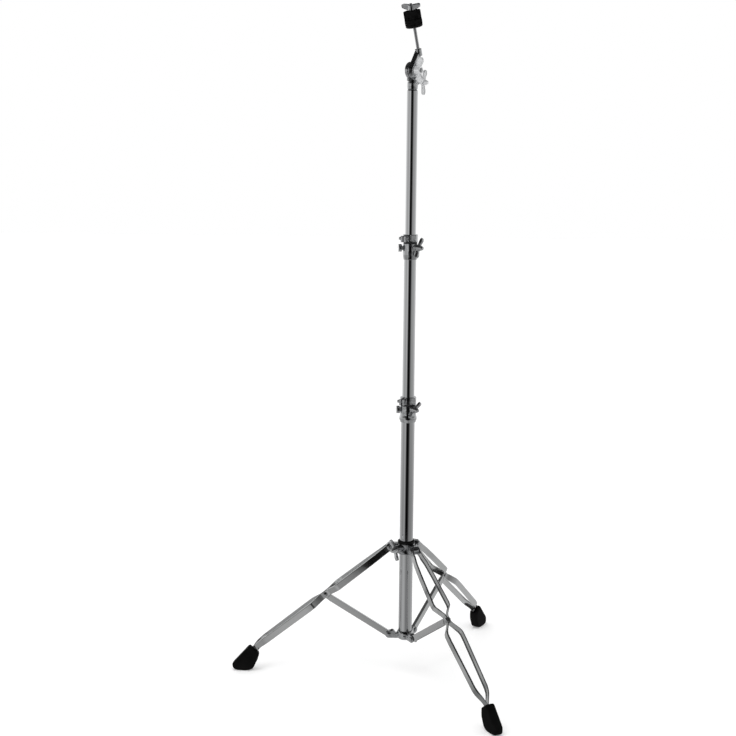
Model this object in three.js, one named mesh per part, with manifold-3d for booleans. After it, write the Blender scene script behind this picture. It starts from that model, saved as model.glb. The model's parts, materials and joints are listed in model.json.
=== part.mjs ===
// A straight cymbal stand: a folding tripod, three telescoping tubes, a toothed tilter and a felted rod.
// Millimetres, +Z up. The tube axis is x = 0, y = 0 while the pieces are made, and the floor is z = 0.
// The finished group is then centred in x on its own bounding box.
import * as THREE from 'three';
import { mergeVertices } from 'three/addons/utils/BufferGeometryUtils.js';
import Module from 'manifold-3d';

const wasm = await Module();
wasm.setup();

// Fits and facets
const gap = 0.3; // between two pieces that touch
const overrun = 2; // how far a cut passes the face that it leaves
const tubeSides = 28;
const roundSides = 20;
const pinSides = 12;
const tidyTolerance = 0.0001;
const endArcSteps = 6;
const discArcSteps = 14;

// Heights that the stand is set to
const collarPivotHeight = 283;
const baseTubeTop = 572;
const middleTubeTop = 915;
const tiltHeight = 1279; // of the tilter's axis

// Tubes, radius and wall, and how far each goes into the next
const baseTubeRadius = 14.3;
const middleTubeRadius = 12.7;
const upperTubeRadius = 11.1;
const tubeWall = 1.2;
const middleTubeHidden = 174;
const upperTubeHidden = 163;
const upperTubeDrop = 21; // its top, below the tilter's axis
const middleTubeBottom = baseTubeTop - middleTubeHidden;
const upperTubeBottom = middleTubeTop - upperTubeHidden;
const upperTubeTop = tiltHeight - upperTubeDrop;

// Tripod: pivots as a distance from the tube axis and a height
const legAzimuths = { left: 180, front: 300, back: 60 };
const pivotReach = 35;
const bracketPivotHeight = 87.5;
const upperArm = 175.9; // collar pivot to knee rivet
const toeAngle = 60; // below the horizontal, inside the foot
const toeStart = 350; // along the leg from its collar pivot
const toeHeight = 65.12; // of that place, which gives the leg its slope
const toeBendRadius = 60;
const toeLength = 23; // straight run inside the foot

// Leg strips: pressed channels, two to a leg
const stripDepth = 14;
const stripSteel = 1.8;
const flangeHeight = 1.4;
const flangeStubShare = 0.2; // flange left where two strips meet
const stripEndRadius = 7;
const bowHalfSpacing = 19;
const pivotHalfSpacing = 9.5;
const kneeHalfSpacing = 2.65;
const toeHalfSpacing = 1.8;
const kneeFlat = 7; // half length of the flat at the knee rivet
// [share of the arm, share of the bow's half spacing, share of the flange]
const upperBowShares = [
  [0.11, 0.54, 1],
  [0.2, 0.7, 1],
  [0.39, 0.83, 1],
  [0.62, 0.93, 1],
  [0.785, 1, 1],
  [0.825, 0.95, 1],
  [0.875, 0.6, 0.6],
  [0.93, 0.24, 0.1],
];
const lowerBowShares = [
  [0.075, 0.33, 0.1],
  [0.115, 0.57, 0.5],
  [0.165, 0.88, 1],
  [0.205, 0.975, 1],
  [0.3, 0.977, 1],
  [0.51, 0.893, 1],
  [0.77, 0.836, 1],
  [0.93, 0.785, 1],
  [0.985, 0.69, 1],
];
// [share of the toe bend, share of the bow's half spacing, share of the flange]
const toeBendShares = [
  [0.2, 0.54, 0.8],
  [0.5, 0.36, 0.4],
  [0.8, 0.19, 0.1],
];

// Braces: folded channels from the lower bracket to the knee rivets
const braceDepth = 13.3;
const braceWidth = 7;
const braceSteel = 1.6;
const braceTipWidth = 2.4; // pressed flat between the two strips
const braceTipLength = 9;
const braceTaperLength = 6;

// Rivets
const rivetRadius = 2.8;
const rivetHeadRadius = 5.4;
const rivetHeadHeight = 2.6;
const rivetRimShare = 0.35; // of the head's height
const rivetCrownShare = 0.6; // of the head's radius

// Collar that slides on the base tube
const collarBore = 16.2;
const collarOuter = 18.6;
const collarDrop = 14; // below the leg pivots
const collarRise = 9; // above them
const collarBottom = collarPivotHeight - collarDrop;
const collarTop = collarPivotHeight + collarRise;
const collarLugWidths = { left: 16, front: 13, back: 13 };
const collarLugRadius = 8.6;
const collarLugHoles = { left: 3.1, front: 5.8, back: 5.8 }; // the wide ones give the folding legs their play
const collarBossAzimuth = 230;
const collarBossRise = 0.5;
const collarBossHeight = collarPivotHeight + collarBossRise;
const collarBossRadius = 8;
const collarBossReach = 34;
const collarWingSpan = 47;
const collarBoltTurn = 25;
const collarRingHeight = 5;
const collarRingOuter = 18;

// Lower bracket
const bracketBottom = 75;
const bracketTop = 97;
const bracketOuter = 18.4;
const bracketFloor = 3;
const bracketLugRadius = 7.8;
const bracketCheek = 2.1;
const bracketSlotStart = 27;
const bracketHumpRadius = 6.4;
const bracketHumpReach = 27.5;

// Rubber feet: length along the leg's reach, height, and widths across
const footHeel = 7.22; // from the foot's start to the straight end of the leg
const footLength = 57.4;
const footHeight = 53;
const footTopWidth = 22;
const footSoleWidth = 21;
const footRound = 3;
const footRoundSteps = 2;
const footCornerRadius = 8.5; // seen from above
const footCornerSteps = 4;
// [share of the length, share of the height]
const footOutlineShares = [
  [0.0, 0.66],
  [0.06, 0.45],
  [0.205, 0.12],
  [0.24, 0.07],
  [0.4, 0],
  [0.7, 0],
  [0.86, 0.025],
  [0.95, 0.08],
  [0.995, 0.16],
  [1, 0.23],
  [0.97, 0.29],
  [0.39, 0.985],
  [0.36, 1],
  [0.33, 0.99],
  [0.02, 0.745],
];

// Wings: a hub with two rounded ears
const wingThickness = 4.2;
const hubRadius = 6.6;
const hubLength = 10;
const hubNose = 5;
const wingHeight = 9;
const hubWaistShare = 0.35; // of the hub's length, where it starts to narrow
const hubCrownShare = 0.8; // of the hub's radius
const hubTipShare = 0.45;
const earFootShare = 0.02; // of the hub's length, where the ears start
const shankRadius = 3.4;
const shoeLength = 1.6;
const shoeRadius = 4.4;
// [share of the half span, share of the wing's height], from the hub's foot out and back to the middle
const wingOutlineShares = [
  [0.2, 0.02],
  [0.42, 0.1],
  [0.66, 0.16],
  [0.86, 0.24],
  [0.96, 0.4],
  [1, 0.6],
  [0.97, 0.8],
  [0.87, 0.95],
  [0.74, 1],
  [0.6, 0.95],
  [0.44, 0.8],
  [0.28, 0.7],
];

// Height joints: each a casting on the wider tube with a nylon bush, and a memory lock above it.
// Drop and rise are below and above the top of the wider tube.
const heightJoints = {
  lower: {
    outerTube: baseTubeRadius,
    innerTube: middleTubeRadius,
    tubeTop: baseTubeTop,
    drop: 17,
    rise: 19,
    skirtRadius: 15.9,
    bellyRadius: 18.4,
    bellyShare: 0.28,
    neckRadius: 16.6,
    boltAzimuth: 308,
    boltRise: 12,
    boltTurn: -43,
    wingSpan: 40,
    lugAzimuth: 190,
    lugRise: 10,
    lockAzimuth: 236,
    lockTurn: 66,
  },
  upper: {
    outerTube: middleTubeRadius,
    innerTube: upperTubeRadius,
    tubeTop: middleTubeTop,
    drop: 18,
    rise: 16,
    skirtRadius: 13.9,
    bellyRadius: 15.3,
    bellyShare: 0.41,
    neckRadius: 15.3,
    boltAzimuth: 320,
    boltRise: 7,
    boltTurn: -25,
    wingSpan: 44,
    lugAzimuth: 190,
    lugRise: 6,
    lockAzimuth: 232,
    lockTurn: 58,
  },
};
const bellyFootShare = 0.3; // of the belly's height, where it turns in to the skirt
const neckFootShare = 0.25; // of the rest, where the neck starts
const bushWall = 1.5;
const bushFlangeHeight = 2;
const bossRadius = 7;
const bossReach = 18.5;
const rearLugReach = 25;
const rearLugWidth = 7;
const rearLugRadius = 8;
const lockHeight = 15;
const lockWall = 4;
const lockSlot = 2.6;
const lockEar = 5.2;
const lockEarReach = 24.5;
const lockKeyHeight = 12;
const lockKeyReach = 19.4;
const lockScrewRadius = 2.6;
const lockScrewHead = 4;
const lockScrewHeadLength = 4.4;
const lockScrewReach = 20.2;

// Tilter: two toothed halves on a bolt, and a socket over the upper tube
const tiltAxisAzimuth = 322;
const tiltLean = 17; // of the rod, away from upright
const tiltDiscRadius = 17.4;
const socketDrop = 38; // its bottom, below the tilt axis
const socketHeight = 20;
const socketBottom = tiltHeight - socketDrop;
const socketTop = socketBottom + socketHeight;
const socketOuter = 11;
const spigotRadius = 8.3; // the reduced end of the upper tube, inside the socket
const socketBossRadius = 5.4;
const socketHubSeat = 24.5;
const socketRoof = 2.7;
const baseDiscBack = -7; // along the tilt axis
const baseDiscFace = -0.4;
const armDiscFace = 1.7;
const armDiscFront = 8.7;
const armArcStart = 140; // degrees round the disc, between its two edges
const armArcEnd = 330;
const tiltNeckShare = 0.72; // of the disc's radius
const toothCount = 20;
const toothHeight = 0.9;
const toothInnerRadius = 8.5;
const toothOuterRadius = 16;
const tiltBoltRadius = 3.7;
const tiltBoltHeadRadius = 8;
const tiltBoltHeadHeight = 3.4;
const tiltHeadCrownShare = 0.7; // of the head's radius
const tiltHeadRimShare = 0.4; // of the head's height
const tiltBoltEnd = 23.5;
const tiltHubRadius = 9.6;
const tiltHubLength = 12;
const tiltWingSpan = 52;
const tiltWingHeight = 17;
const socketBoltAzimuth = 38;
const socketBoltRise = 15; // above the socket's bottom
const socketBoltHeight = socketBottom + socketBoltRise;
const socketBossReach = 14;
const socketWingSpan = 50;
const socketBoltTurn = 7;

// Rod and what it carries, along the rod from the tilt axis
const rodRadius = 3;
const rodOffset = 22; // rod axis to tilt axis
const rodBottom = 22;
const rodTip = 129.5;
const rodBossRadius = 6.8;
const rodBossBottom = 24;
const rodBossTop = 38;
const seatBottom = 82.5;
const seatHeight = 5;
const seatRadius = 15.8;
const seatChamfer = 2.6;
const feltBore = 5.2;
const lowerFeltHeight = 11.5;
const lowerFeltRadius = 16.3;
const upperFeltHeight = 15.5;
const upperFeltRadius = 15.9;
const feltRound = 1.4;
const sleeveWall = 1.3;
const topNutHubRadius = 6.6;
const topNutHubHeight = 11;
const topWingSpan = 48;
const topWingHeight = 12;
const topWingTurn = 0;

// Looks
const chrome = { color: 0xb9bcbf, roughness: 0.12, metalness: 1 };
const satinSteel = { color: 0x9b9d9f, roughness: 0.34, metalness: 1 };
const blackRubber = { color: 0x0c0c0d, roughness: 0.72, metalness: 0 };
const blackNylon = { color: 0x141414, roughness: 0.5, metalness: 0 };
const blackFelt = { color: 0x0b0b0c, roughness: 0.98, metalness: 0 };

const degrees = THREE.MathUtils.degToRad;

// Solids

function tidy(source) {
  const bare = source.index ? source.toNonIndexed() : source.clone();
  bare.deleteAttribute('normal');
  bare.deleteAttribute('uv');
  const merged = mergeVertices(bare, tidyTolerance);
  const points = merged.attributes.position;
  const corner = (i) => new THREE.Vector3().fromBufferAttribute(points, i);
  const kept = [];
  let volume = 0;
  for (let i = 0; i < merged.index.count; i += 3) {
    const [a, b, c] = [0, 1, 2].map((k) => merged.index.getX(i + k));
    if (a !== b && b !== c && c !== a) {
      kept.push(a, b, c);
      volume += corner(a).dot(corner(b).cross(corner(c)));
    }
  }
  if (volume < 0) kept.reverse();
  merged.setIndex(kept);
  return merged;
}

function toManifold(geometry) {
  const clean = tidy(geometry);
  return new wasm.Manifold(
    new wasm.Mesh({
      numProp: 3,
      vertProperties: new Float32Array(clean.attributes.position.array),
      triVerts: new Uint32Array(clean.index.array),
    }),
  );
}

function toGeometry(solid) {
  const mesh = solid.getMesh();
  const geometry = new THREE.BufferGeometry();
  geometry.setAttribute('position', new THREE.BufferAttribute(mesh.vertProperties, 3));
  geometry.setIndex(new THREE.BufferAttribute(mesh.triVerts, 1));
  return geometry;
}

function join(...pieces) {
  return toGeometry(pieces.map(toManifold).reduce((whole, piece) => whole.add(piece)));
}

function cut(body, ...tools) {
  return toGeometry(tools.map(toManifold).reduce((whole, tool) => whole.subtract(tool), toManifold(body)));
}

function common(a, b) {
  return toGeometry(toManifold(a).intersect(toManifold(b)));
}

// A turned shape about +Z from [radius, height] points
function turned(profile, sides) {
  const points = profile.map(([radius, height]) => new THREE.Vector2(radius, height));
  return tidy(new THREE.LatheGeometry(points, sides).rotateX(Math.PI / 2));
}

function rod(radius, bottom, top, sides) {
  return turned([[0, bottom], [radius, bottom], [radius, top], [0, top]], sides);
}

function pipe(inner, outer, bottom, top, sides) {
  return turned([[inner, bottom], [outer, bottom], [outer, top], [inner, top], [inner, bottom]], sides);
}

// A rod along +X
function crossRod(radius, start, end, sides) {
  return rod(radius, start, end, sides).rotateY(Math.PI / 2);
}

// A pin along +Y, as a rivet or the cut for one
function sidePin(radius, halfLength, reach, height, sides = pinSides) {
  return rod(radius, -halfLength, halfLength, sides).rotateX(Math.PI / 2).translate(reach, 0, height);
}

function block(x0, x1, y0, y1, z0, z1) {
  const box = new THREE.BoxGeometry(x1 - x0, y1 - y0, z1 - z0);
  return box.translate((x0 + x1) / 2, (y0 + y1) / 2, (z0 + z1) / 2);
}

function outline(points) {
  return new THREE.Shape(points.map(([x, y]) => new THREE.Vector2(x, y)));
}

// A plate in the x, z plane, centred on y = 0
function uprightPlate(points, thickness) {
  const plate = new THREE.ExtrudeGeometry(outline(points), { depth: thickness, bevelEnabled: false });
  return plate.translate(0, 0, -thickness / 2).rotateX(Math.PI / 2);
}

function arcPoints(x, y, radius, from, to, steps) {
  return Array.from({ length: steps + 1 }, (_, i) => {
    const angle = degrees(from + ((to - from) * i) / steps);
    return [x + radius * Math.cos(angle), y + radius * Math.sin(angle)];
  });
}

// A closed skin over rings of equal count, with both ends capped
function loft(rings) {
  const count = rings[0].length;
  const positions = rings.flat().flatMap((p) => [p.x, p.y, p.z]);
  const index = [];
  for (let i = 0; i < rings.length - 1; i += 1) {
    for (let j = 0; j < count; j += 1) {
      const a = i * count + j;
      const b = i * count + ((j + 1) % count);
      index.push(a, b, a + count, b, b + count, a + count);
    }
  }
  return { positions, index, count, rings };
}

function capped({ positions, index, count, rings }, section) {
  const clockwise = THREE.ShapeUtils.isClockWise(section);
  const last = (rings.length - 1) * count;
  for (const face of THREE.ShapeUtils.triangulateShape(section, [])) {
    const [a, b, c] = clockwise ? [...face].reverse() : face;
    index.push(a, c, b);
    index.push(last + a, last + b, last + c);
  }
  const geometry = new THREE.BufferGeometry();
  geometry.setAttribute('position', new THREE.Float32BufferAttribute(positions, 3));
  geometry.setIndex(index);
  return tidy(geometry);
}

const stand = new THREE.Group();

function addMesh(parent, name, geometry, look) {
  const mesh = new THREE.Mesh(geometry, new THREE.MeshStandardMaterial(look));
  mesh.name = name;
  parent.add(mesh);
  return mesh;
}

function turnedGroup(parent, azimuth) {
  const group = new THREE.Group();
  group.rotation.z = degrees(azimuth);
  parent.add(group);
  return group;
}

// Wings

// The two ears, in the x, z plane: x is the bolt's axis, outwards, and z runs along the span
function wingEars(span, height) {
  const half = wingOutlineShares.map(([out, up]) => [up * height, (out * span) / 2]);
  const other = half.map(([x, z]) => [x, -z]).reverse();
  return uprightPlate([...half, ...other], wingThickness);
}

// A wing bolt along +X: its hub starts at seat, and its shank runs back to tip
function wingBolt({ seat, tip, span, height, hub = hubRadius, length = hubLength, shank = shankRadius }) {
  const body = turned(
    [
      [0, tip],
      [shank, tip],
      [shank, seat],
      [hub, seat],
      [hub, seat + length * hubWaistShare],
      [hub * hubCrownShare, seat + length],
      [hub * hubTipShare, seat + length + hubNose],
      [0, seat + length + hubNose],
    ],
    roundSides,
  ).rotateY(Math.PI / 2);
  return join(body, wingEars(span, height).translate(seat + length * earFootShare, 0, 0));
}

// A wing nut along +X with a through bore
function wingNut({ seat, span, height, hub, length, bore }) {
  const body = turned(
    [
      [0, seat],
      [hub, seat],
      [hub, seat + length * hubWaistShare],
      [hub * hubCrownShare, seat + length],
      [0, seat + length],
    ],
    roundSides,
  ).rotateY(Math.PI / 2);
  const whole = join(body, wingEars(span, height).translate(seat + length * earFootShare, 0, 0));
  return cut(whole, crossRod(bore, seat - overrun, seat + height + length, roundSides));
}

// Tripod

const legRadians = Math.asin((collarPivotHeight - toeHeight) / toeStart); // below the horizontal
const kneeReach = pivotReach + upperArm * Math.cos(legRadians);
const kneeHeight = collarPivotHeight - upperArm * Math.sin(legRadians);

// A point on the leg's centre line, and its slope, at a distance from the collar pivot
function onLeg(distance) {
  const straight = Math.min(distance, toeStart);
  let reach = pivotReach + straight * Math.cos(legRadians);
  let height = collarPivotHeight - straight * Math.sin(legRadians);
  const bendAngle = degrees(toeAngle) - legRadians;
  const bent = THREE.MathUtils.clamp((distance - toeStart) / toeBendRadius, 0, bendAngle);
  const slope = legRadians + bent;
  reach += toeBendRadius * (Math.sin(slope) - Math.sin(legRadians));
  height -= toeBendRadius * (Math.cos(legRadians) - Math.cos(slope));
  const rest = Math.max(distance - toeStart - toeBendRadius * bendAngle, 0);
  return { reach: reach + rest * Math.cos(slope), height: height - rest * Math.sin(slope), slope };
}

const toeBendLength = toeBendRadius * (degrees(toeAngle) - legRadians);
const lowerArm = toeStart - upperArm;
const legEnd = toeStart + toeBendLength + toeLength;
const footMouth = onLeg(toeStart + toeBendLength);
const footStart = footMouth.reach - footHeel;

function stripStations() {
  const stub = flangeStubShare * flangeHeight;
  const bow = ([, spacing, flange]) => [spacing * bowHalfSpacing, flange * flangeHeight];
  return [
    [-stripEndRadius, pivotHalfSpacing, stub],
    [stripEndRadius, pivotHalfSpacing, stub],
    ...upperBowShares.map((row) => [row[0] * upperArm, ...bow(row)]),
    [upperArm - kneeFlat, kneeHalfSpacing, stub],
    [upperArm + kneeFlat, kneeHalfSpacing, stub],
    ...lowerBowShares.map((row) => [upperArm + row[0] * lowerArm, ...bow(row)]),
    ...toeBendShares.map((row) => [toeStart + row[0] * toeBendLength, ...bow(row)]),
    [toeStart + toeBendLength, toeHalfSpacing, stub],
    [legEnd, toeHalfSpacing, stub],
  ];
}

// The channel's section as [depth, spacing] corners, its flanges towards the other strip
function channelSection(spacing, flange) {
  const half = stripDepth / 2;
  const outer = spacing + stripSteel / 2;
  const inner = spacing - stripSteel / 2;
  const bevel = stripSteel / 2;
  return [
    [-half + bevel, outer],
    [half - bevel, outer],
    [half, outer - bevel],
    [half, inner - flange],
    [half - stripSteel, inner - flange],
    [half - stripSteel, inner],
    [-half + stripSteel, inner],
    [-half + stripSteel, inner - flange],
    [-half, inner - flange],
    [-half, outer - bevel],
  ];
}

function legStrip(side) {
  const rings = stripStations().map(([distance, spacing, flange]) => {
    const { reach, height, slope } = onLeg(distance);
    return channelSection(spacing, flange).map(
      ([depth, across]) =>
        new THREE.Vector3(reach + depth * Math.sin(slope), side * across, height + depth * Math.cos(slope)),
    );
  });
  const section = channelSection(pivotHalfSpacing, flangeStubShare * flangeHeight);
  const strip = capped(loft(rings), section.map(([depth, across]) => new THREE.Vector2(depth, across)));
  const holeLength = bowHalfSpacing + overrun;
  return cut(
    strip,
    sidePin(rivetRadius + gap, holeLength, pivotReach, collarPivotHeight),
    sidePin(rivetRadius + gap, holeLength, kneeReach, kneeHeight),
  );
}

// A rivet along y with a domed head at each end, its heads seated on faces at plus and minus seat
function rivet(seat, reach, height) {
  const head = seat + gap;
  const crown = head + rivetHeadHeight;
  const body = turned(
    [
      [0, -crown],
      [rivetHeadRadius * rivetCrownShare, -crown],
      [rivetHeadRadius, -head - rivetHeadHeight * rivetRimShare],
      [rivetHeadRadius, -head],
      [rivetRadius, -head],
      [rivetRadius, head],
      [rivetHeadRadius, head],
      [rivetHeadRadius, head + rivetHeadHeight * rivetRimShare],
      [rivetHeadRadius * rivetCrownShare, crown],
      [0, crown],
    ],
    pinSides,
  );
  return body.rotateX(Math.PI / 2).translate(reach, 0, height);
}

function brace() {
  const rise = kneeHeight - bracketPivotHeight;
  const run = kneeReach - pivotReach;
  const length = Math.hypot(run, rise);
  const half = braceDepth / 2;
  const side = [
    ...arcPoints(length, 0, half, -90, 90, endArcSteps),
    ...arcPoints(0, 0, half, 90, 270, endArcSteps),
  ];
  const tipStart = length - braceTipLength;
  const taperStart = tipStart - braceTaperLength;
  const wide = braceWidth / 2;
  const slim = braceTipWidth / 2;
  const cheekPlan = (sign) => {
    const plan = outline([
      [taperStart, sign * wide],
      [tipStart, sign * slim],
      [length + half + overrun, sign * slim],
      [length + half + overrun, sign * (wide + overrun)],
      [taperStart, sign * (wide + overrun)],
    ]);
    const tool = new THREE.ExtrudeGeometry(plan, { depth: braceDepth + 2 * overrun, bevelEnabled: false });
    return tool.translate(0, 0, -half - overrun);
  };
  const hollow = block(
    -half - overrun,
    taperStart - braceSteel,
    -wide + braceSteel,
    wide - braceSteel,
    -half - overrun,
    half - braceSteel,
  );
  const bar = cut(
    uprightPlate(side, braceWidth),
    hollow,
    cheekPlan(1),
    cheekPlan(-1),
    sidePin(rivetRadius + gap, braceWidth, 0, 0),
    sidePin(rivetRadius + gap, braceWidth, length, 0),
  );
  return bar.rotateY(-Math.atan2(rise, run)).translate(pivotReach, 0, bracketPivotHeight);
}

// The foot from above: a rectangle with round corners
function footPlan() {
  const [x0, x1] = [footStart + footCornerRadius, footStart + footLength - footCornerRadius];
  const y = footSoleWidth / 2 - footCornerRadius;
  return outline([
    ...arcPoints(x1, y, footCornerRadius, 0, 90, footCornerSteps),
    ...arcPoints(x0, y, footCornerRadius, 90, 180, footCornerSteps),
    ...arcPoints(x0, -y, footCornerRadius, 180, 270, footCornerSteps),
    ...arcPoints(x1, -y, footCornerRadius, 270, 360, footCornerSteps),
  ]);
}

// Rounded outline in the x, z plane, bevelled across, rounded in plan and drawn in towards its top
function foot() {
  const points = footOutlineShares.map(([x, z]) => [footStart + x * footLength, z * footHeight]);
  const body = new THREE.ExtrudeGeometry(outline(points), {
    depth: footSoleWidth - 2 * footRound,
    bevelEnabled: true,
    bevelThickness: footRound,
    bevelSize: footRound,
    bevelOffset: -footRound,
    bevelSegments: footRoundSteps,
  });
  body.translate(0, 0, footRound - footSoleWidth / 2).rotateX(Math.PI / 2);
  const plan = new THREE.ExtrudeGeometry(footPlan(), { depth: footHeight + 2 * overrun, bevelEnabled: false });
  const shell = common(body, plan.translate(0, 0, -overrun));
  const places = shell.attributes.position;
  for (let i = 0; i < places.count; i += 1) {
    const share = places.getZ(i) / footHeight;
    places.setY(i, places.getY(i) * THREE.MathUtils.lerp(1, footTopWidth / footSoleWidth, share));
  }
  const socketHalf = toeHalfSpacing + stripSteel / 2 + gap;
  const socketDepth = stripDepth / 2 + gap;
  const flare = bowHalfSpacing * toeBendShares.at(-1)[1] + stripSteel;
  const socket = block(-overrun, toeLength + gap, -socketHalf, socketHalf, -socketDepth, socketDepth);
  const entry = block(-toeBendLength, 0, -flare, flare, -socketDepth, socketDepth);
  const tool = join(socket, entry).rotateY(degrees(toeAngle)).translate(footMouth.reach, 0, footMouth.height);
  return cut(shell, tool);
}

function lowerBracket() {
  const width = braceWidth + 2 * gap + 2 * bracketCheek;
  const hub = rod(bracketOuter, bracketBottom, bracketTop, tubeSides);
  const parts = [hub];
  for (const azimuth of Object.values(legAzimuths)) {
    const lug = join(
      sidePin(bracketLugRadius, width / 2, pivotReach, bracketPivotHeight, roundSides),
      sidePin(bracketHumpRadius, width / 2, bracketHumpReach, bracketTop - bracketHumpRadius, roundSides),
      block(
        baseTubeRadius,
        pivotReach,
        -width / 2,
        width / 2,
        bracketPivotHeight - bracketLugRadius,
        bracketTop - bracketHumpRadius,
      ),
    );
    parts.push(lug.rotateZ(degrees(azimuth)));
  }
  const cuts = [rod(baseTubeRadius + gap, bracketBottom + bracketFloor, bracketTop + overrun, tubeSides)];
  for (const azimuth of Object.values(legAzimuths)) {
    const half = braceWidth / 2 + gap;
    const slot = block(
      bracketSlotStart,
      pivotReach + bracketLugRadius + overrun,
      -half,
      half,
      bracketBottom - overrun,
      bracketTop + overrun,
    );
    cuts.push(slot.rotateZ(degrees(azimuth)));
    const hole = sidePin(rivetRadius + gap, width, pivotReach, bracketPivotHeight);
    cuts.push(hole.rotateZ(degrees(azimuth)));
  }
  return cut(join(...parts), ...cuts);
}

function collar() {
  const parts = [rod(collarOuter, collarBottom, collarTop, tubeSides)];
  const cuts = [rod(collarBore, collarBottom - overrun, collarTop + overrun, tubeSides)];
  for (const [name, azimuth] of Object.entries(legAzimuths)) {
    const width = collarLugWidths[name];
    const lug = join(
      sidePin(collarLugRadius, width / 2, pivotReach, collarPivotHeight, roundSides),
      block(
        collarBore,
        pivotReach,
        -width / 2,
        width / 2,
        collarPivotHeight - collarLugRadius,
        collarPivotHeight + collarLugRadius,
      ),
    );
    parts.push(lug.rotateZ(degrees(azimuth)));
    const hole = sidePin(collarLugHoles[name], width, pivotReach, collarPivotHeight, roundSides);
    cuts.push(hole.rotateZ(degrees(azimuth)));
  }
  const boss = crossRod(collarBossRadius, baseTubeRadius, collarBossReach, roundSides);
  parts.push(boss.translate(0, 0, collarBossHeight).rotateZ(degrees(collarBossAzimuth)));
  const thread = crossRod(shankRadius + gap, 0, collarBossReach + overrun, roundSides);
  cuts.push(thread.translate(0, 0, collarBossHeight).rotateZ(degrees(collarBossAzimuth)));
  const shoeWay = crossRod(shoeRadius + gap, 0, collarBore + shoeLength + gap, roundSides);
  cuts.push(shoeWay.translate(0, 0, collarBossHeight).rotateZ(degrees(collarBossAzimuth)));
  return cut(join(...parts), ...cuts);
}

const braceRivetSeat = braceWidth / 2 + gap + bracketCheek;
const kneeRivetSeat = kneeHalfSpacing + stripSteel / 2;
const collarRivetSeat = pivotHalfSpacing + stripSteel / 2;

addMesh(
  stand,
  'base_tube',
  pipe(baseTubeRadius - tubeWall, baseTubeRadius, bracketBottom + bracketFloor + gap, baseTubeTop, tubeSides),
  chrome,
);
addMesh(stand, 'lower_bracket', lowerBracket(), chrome);
addMesh(stand, 'leg_collar', collar(), chrome);
addMesh(
  stand,
  'collar_ring',
  pipe(collarBore, collarRingOuter, collarTop + gap, collarTop + gap + collarRingHeight, tubeSides),
  blackNylon,
);

for (const [name, azimuth] of Object.entries(legAzimuths)) {
  const leg = turnedGroup(stand, azimuth);
  addMesh(leg, `${name}_leg_strip_a`, legStrip(1), satinSteel);
  addMesh(leg, `${name}_leg_strip_b`, legStrip(-1), satinSteel);
  addMesh(leg, `${name}_brace`, brace(), satinSteel);
  addMesh(leg, `${name}_foot`, foot(), blackRubber);
  addMesh(leg, `${name}_collar_rivet`, rivet(collarRivetSeat, pivotReach, collarPivotHeight), chrome);
  addMesh(leg, `${name}_knee_rivet`, rivet(kneeRivetSeat, kneeReach, kneeHeight), chrome);
  addMesh(leg, `${name}_bracket_rivet`, rivet(braceRivetSeat, pivotReach, bracketPivotHeight), chrome);
}

// A wing bolt and the shoe that it presses, at an azimuth and a height, its wings turned about its axis
function addWingBolt(name, { azimuth, height, seat, tip, span, turn, shoeStart }) {
  const side = turnedGroup(stand, azimuth);
  const spin = new THREE.Group();
  spin.position.z = height;
  spin.rotation.x = degrees(turn);
  side.add(spin);
  addMesh(spin, name, wingBolt({ seat, tip, span, height: wingHeight }), chrome);
  if (shoeStart) {
    const shoe = crossRod(shoeRadius, shoeStart, shoeStart + shoeLength, pinSides);
    addMesh(side, name.replace('bolt', 'shoe'), shoe.translate(0, 0, height), satinSteel);
  }
}

addWingBolt('collar_wing_bolt', {
  azimuth: collarBossAzimuth,
  height: collarBossHeight,
  seat: collarBossReach + gap,
  tip: collarBore + shoeLength + 2 * gap,
  span: collarWingSpan,
  turn: collarBoltTurn,
  shoeStart: collarBore + gap,
});

// Height joints

function jointCasting(joint) {
  const { outerTube, innerTube, tubeTop } = joint;
  const bottom = tubeTop - joint.drop;
  const top = tubeTop + joint.rise;
  const boltHeight = tubeTop + joint.boltRise;
  const belly = bottom + (top - bottom) * joint.bellyShare;
  const bushOuter = innerTube + gap + bushWall;
  const shell = turned(
    [
      [0, bottom],
      [joint.skirtRadius, bottom],
      [joint.bellyRadius, belly - (belly - bottom) * bellyFootShare],
      [joint.bellyRadius, belly],
      [joint.neckRadius, belly + (top - belly) * neckFootShare],
      [joint.neckRadius, top - bushFlangeHeight / 2],
      [joint.neckRadius - bushFlangeHeight / 2, top],
      [0, top],
    ],
    tubeSides,
  );
  const boss = crossRod(bossRadius, innerTube, bossReach, roundSides).translate(0, 0, boltHeight);
  const lug = join(
    crossRod(rearLugRadius, rearLugReach - rearLugWidth, rearLugReach, roundSides),
    block(innerTube, rearLugReach - overrun, -rearLugWidth / 2, rearLugWidth / 2, -rearLugRadius / 2, rearLugRadius / 2),
  ).translate(0, 0, tubeTop + joint.lugRise);
  const whole = join(shell, boss.rotateZ(degrees(joint.boltAzimuth)), lug.rotateZ(degrees(joint.lugAzimuth)));
  const shoeWay = crossRod(shoeRadius + gap, 0, bushOuter + 2 * gap + shoeLength, roundSides);
  const thread = crossRod(shankRadius + gap, 0, bossReach + overrun, roundSides);
  const place = (tool) => tool.translate(0, 0, boltHeight).rotateZ(degrees(joint.boltAzimuth));
  return cut(
    whole,
    rod(outerTube + gap, bottom - overrun, tubeTop + gap, tubeSides),
    rod(bushOuter + gap, tubeTop, top + overrun, tubeSides),
    place(shoeWay),
    place(thread),
  );
}

function jointBush({ innerTube, tubeTop, rise }) {
  const top = tubeTop + rise;
  const inner = innerTube + gap;
  const outer = inner + bushWall;
  return turned(
    [
      [inner, tubeTop + 2 * gap],
      [outer, tubeTop + 2 * gap],
      [outer, top + gap],
      [outer + bushWall, top + gap],
      [outer + bushWall, top + gap + bushFlangeHeight],
      [inner, top + gap + bushFlangeHeight],
      [inner, tubeTop + 2 * gap],
    ],
    tubeSides,
  );
}

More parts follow.
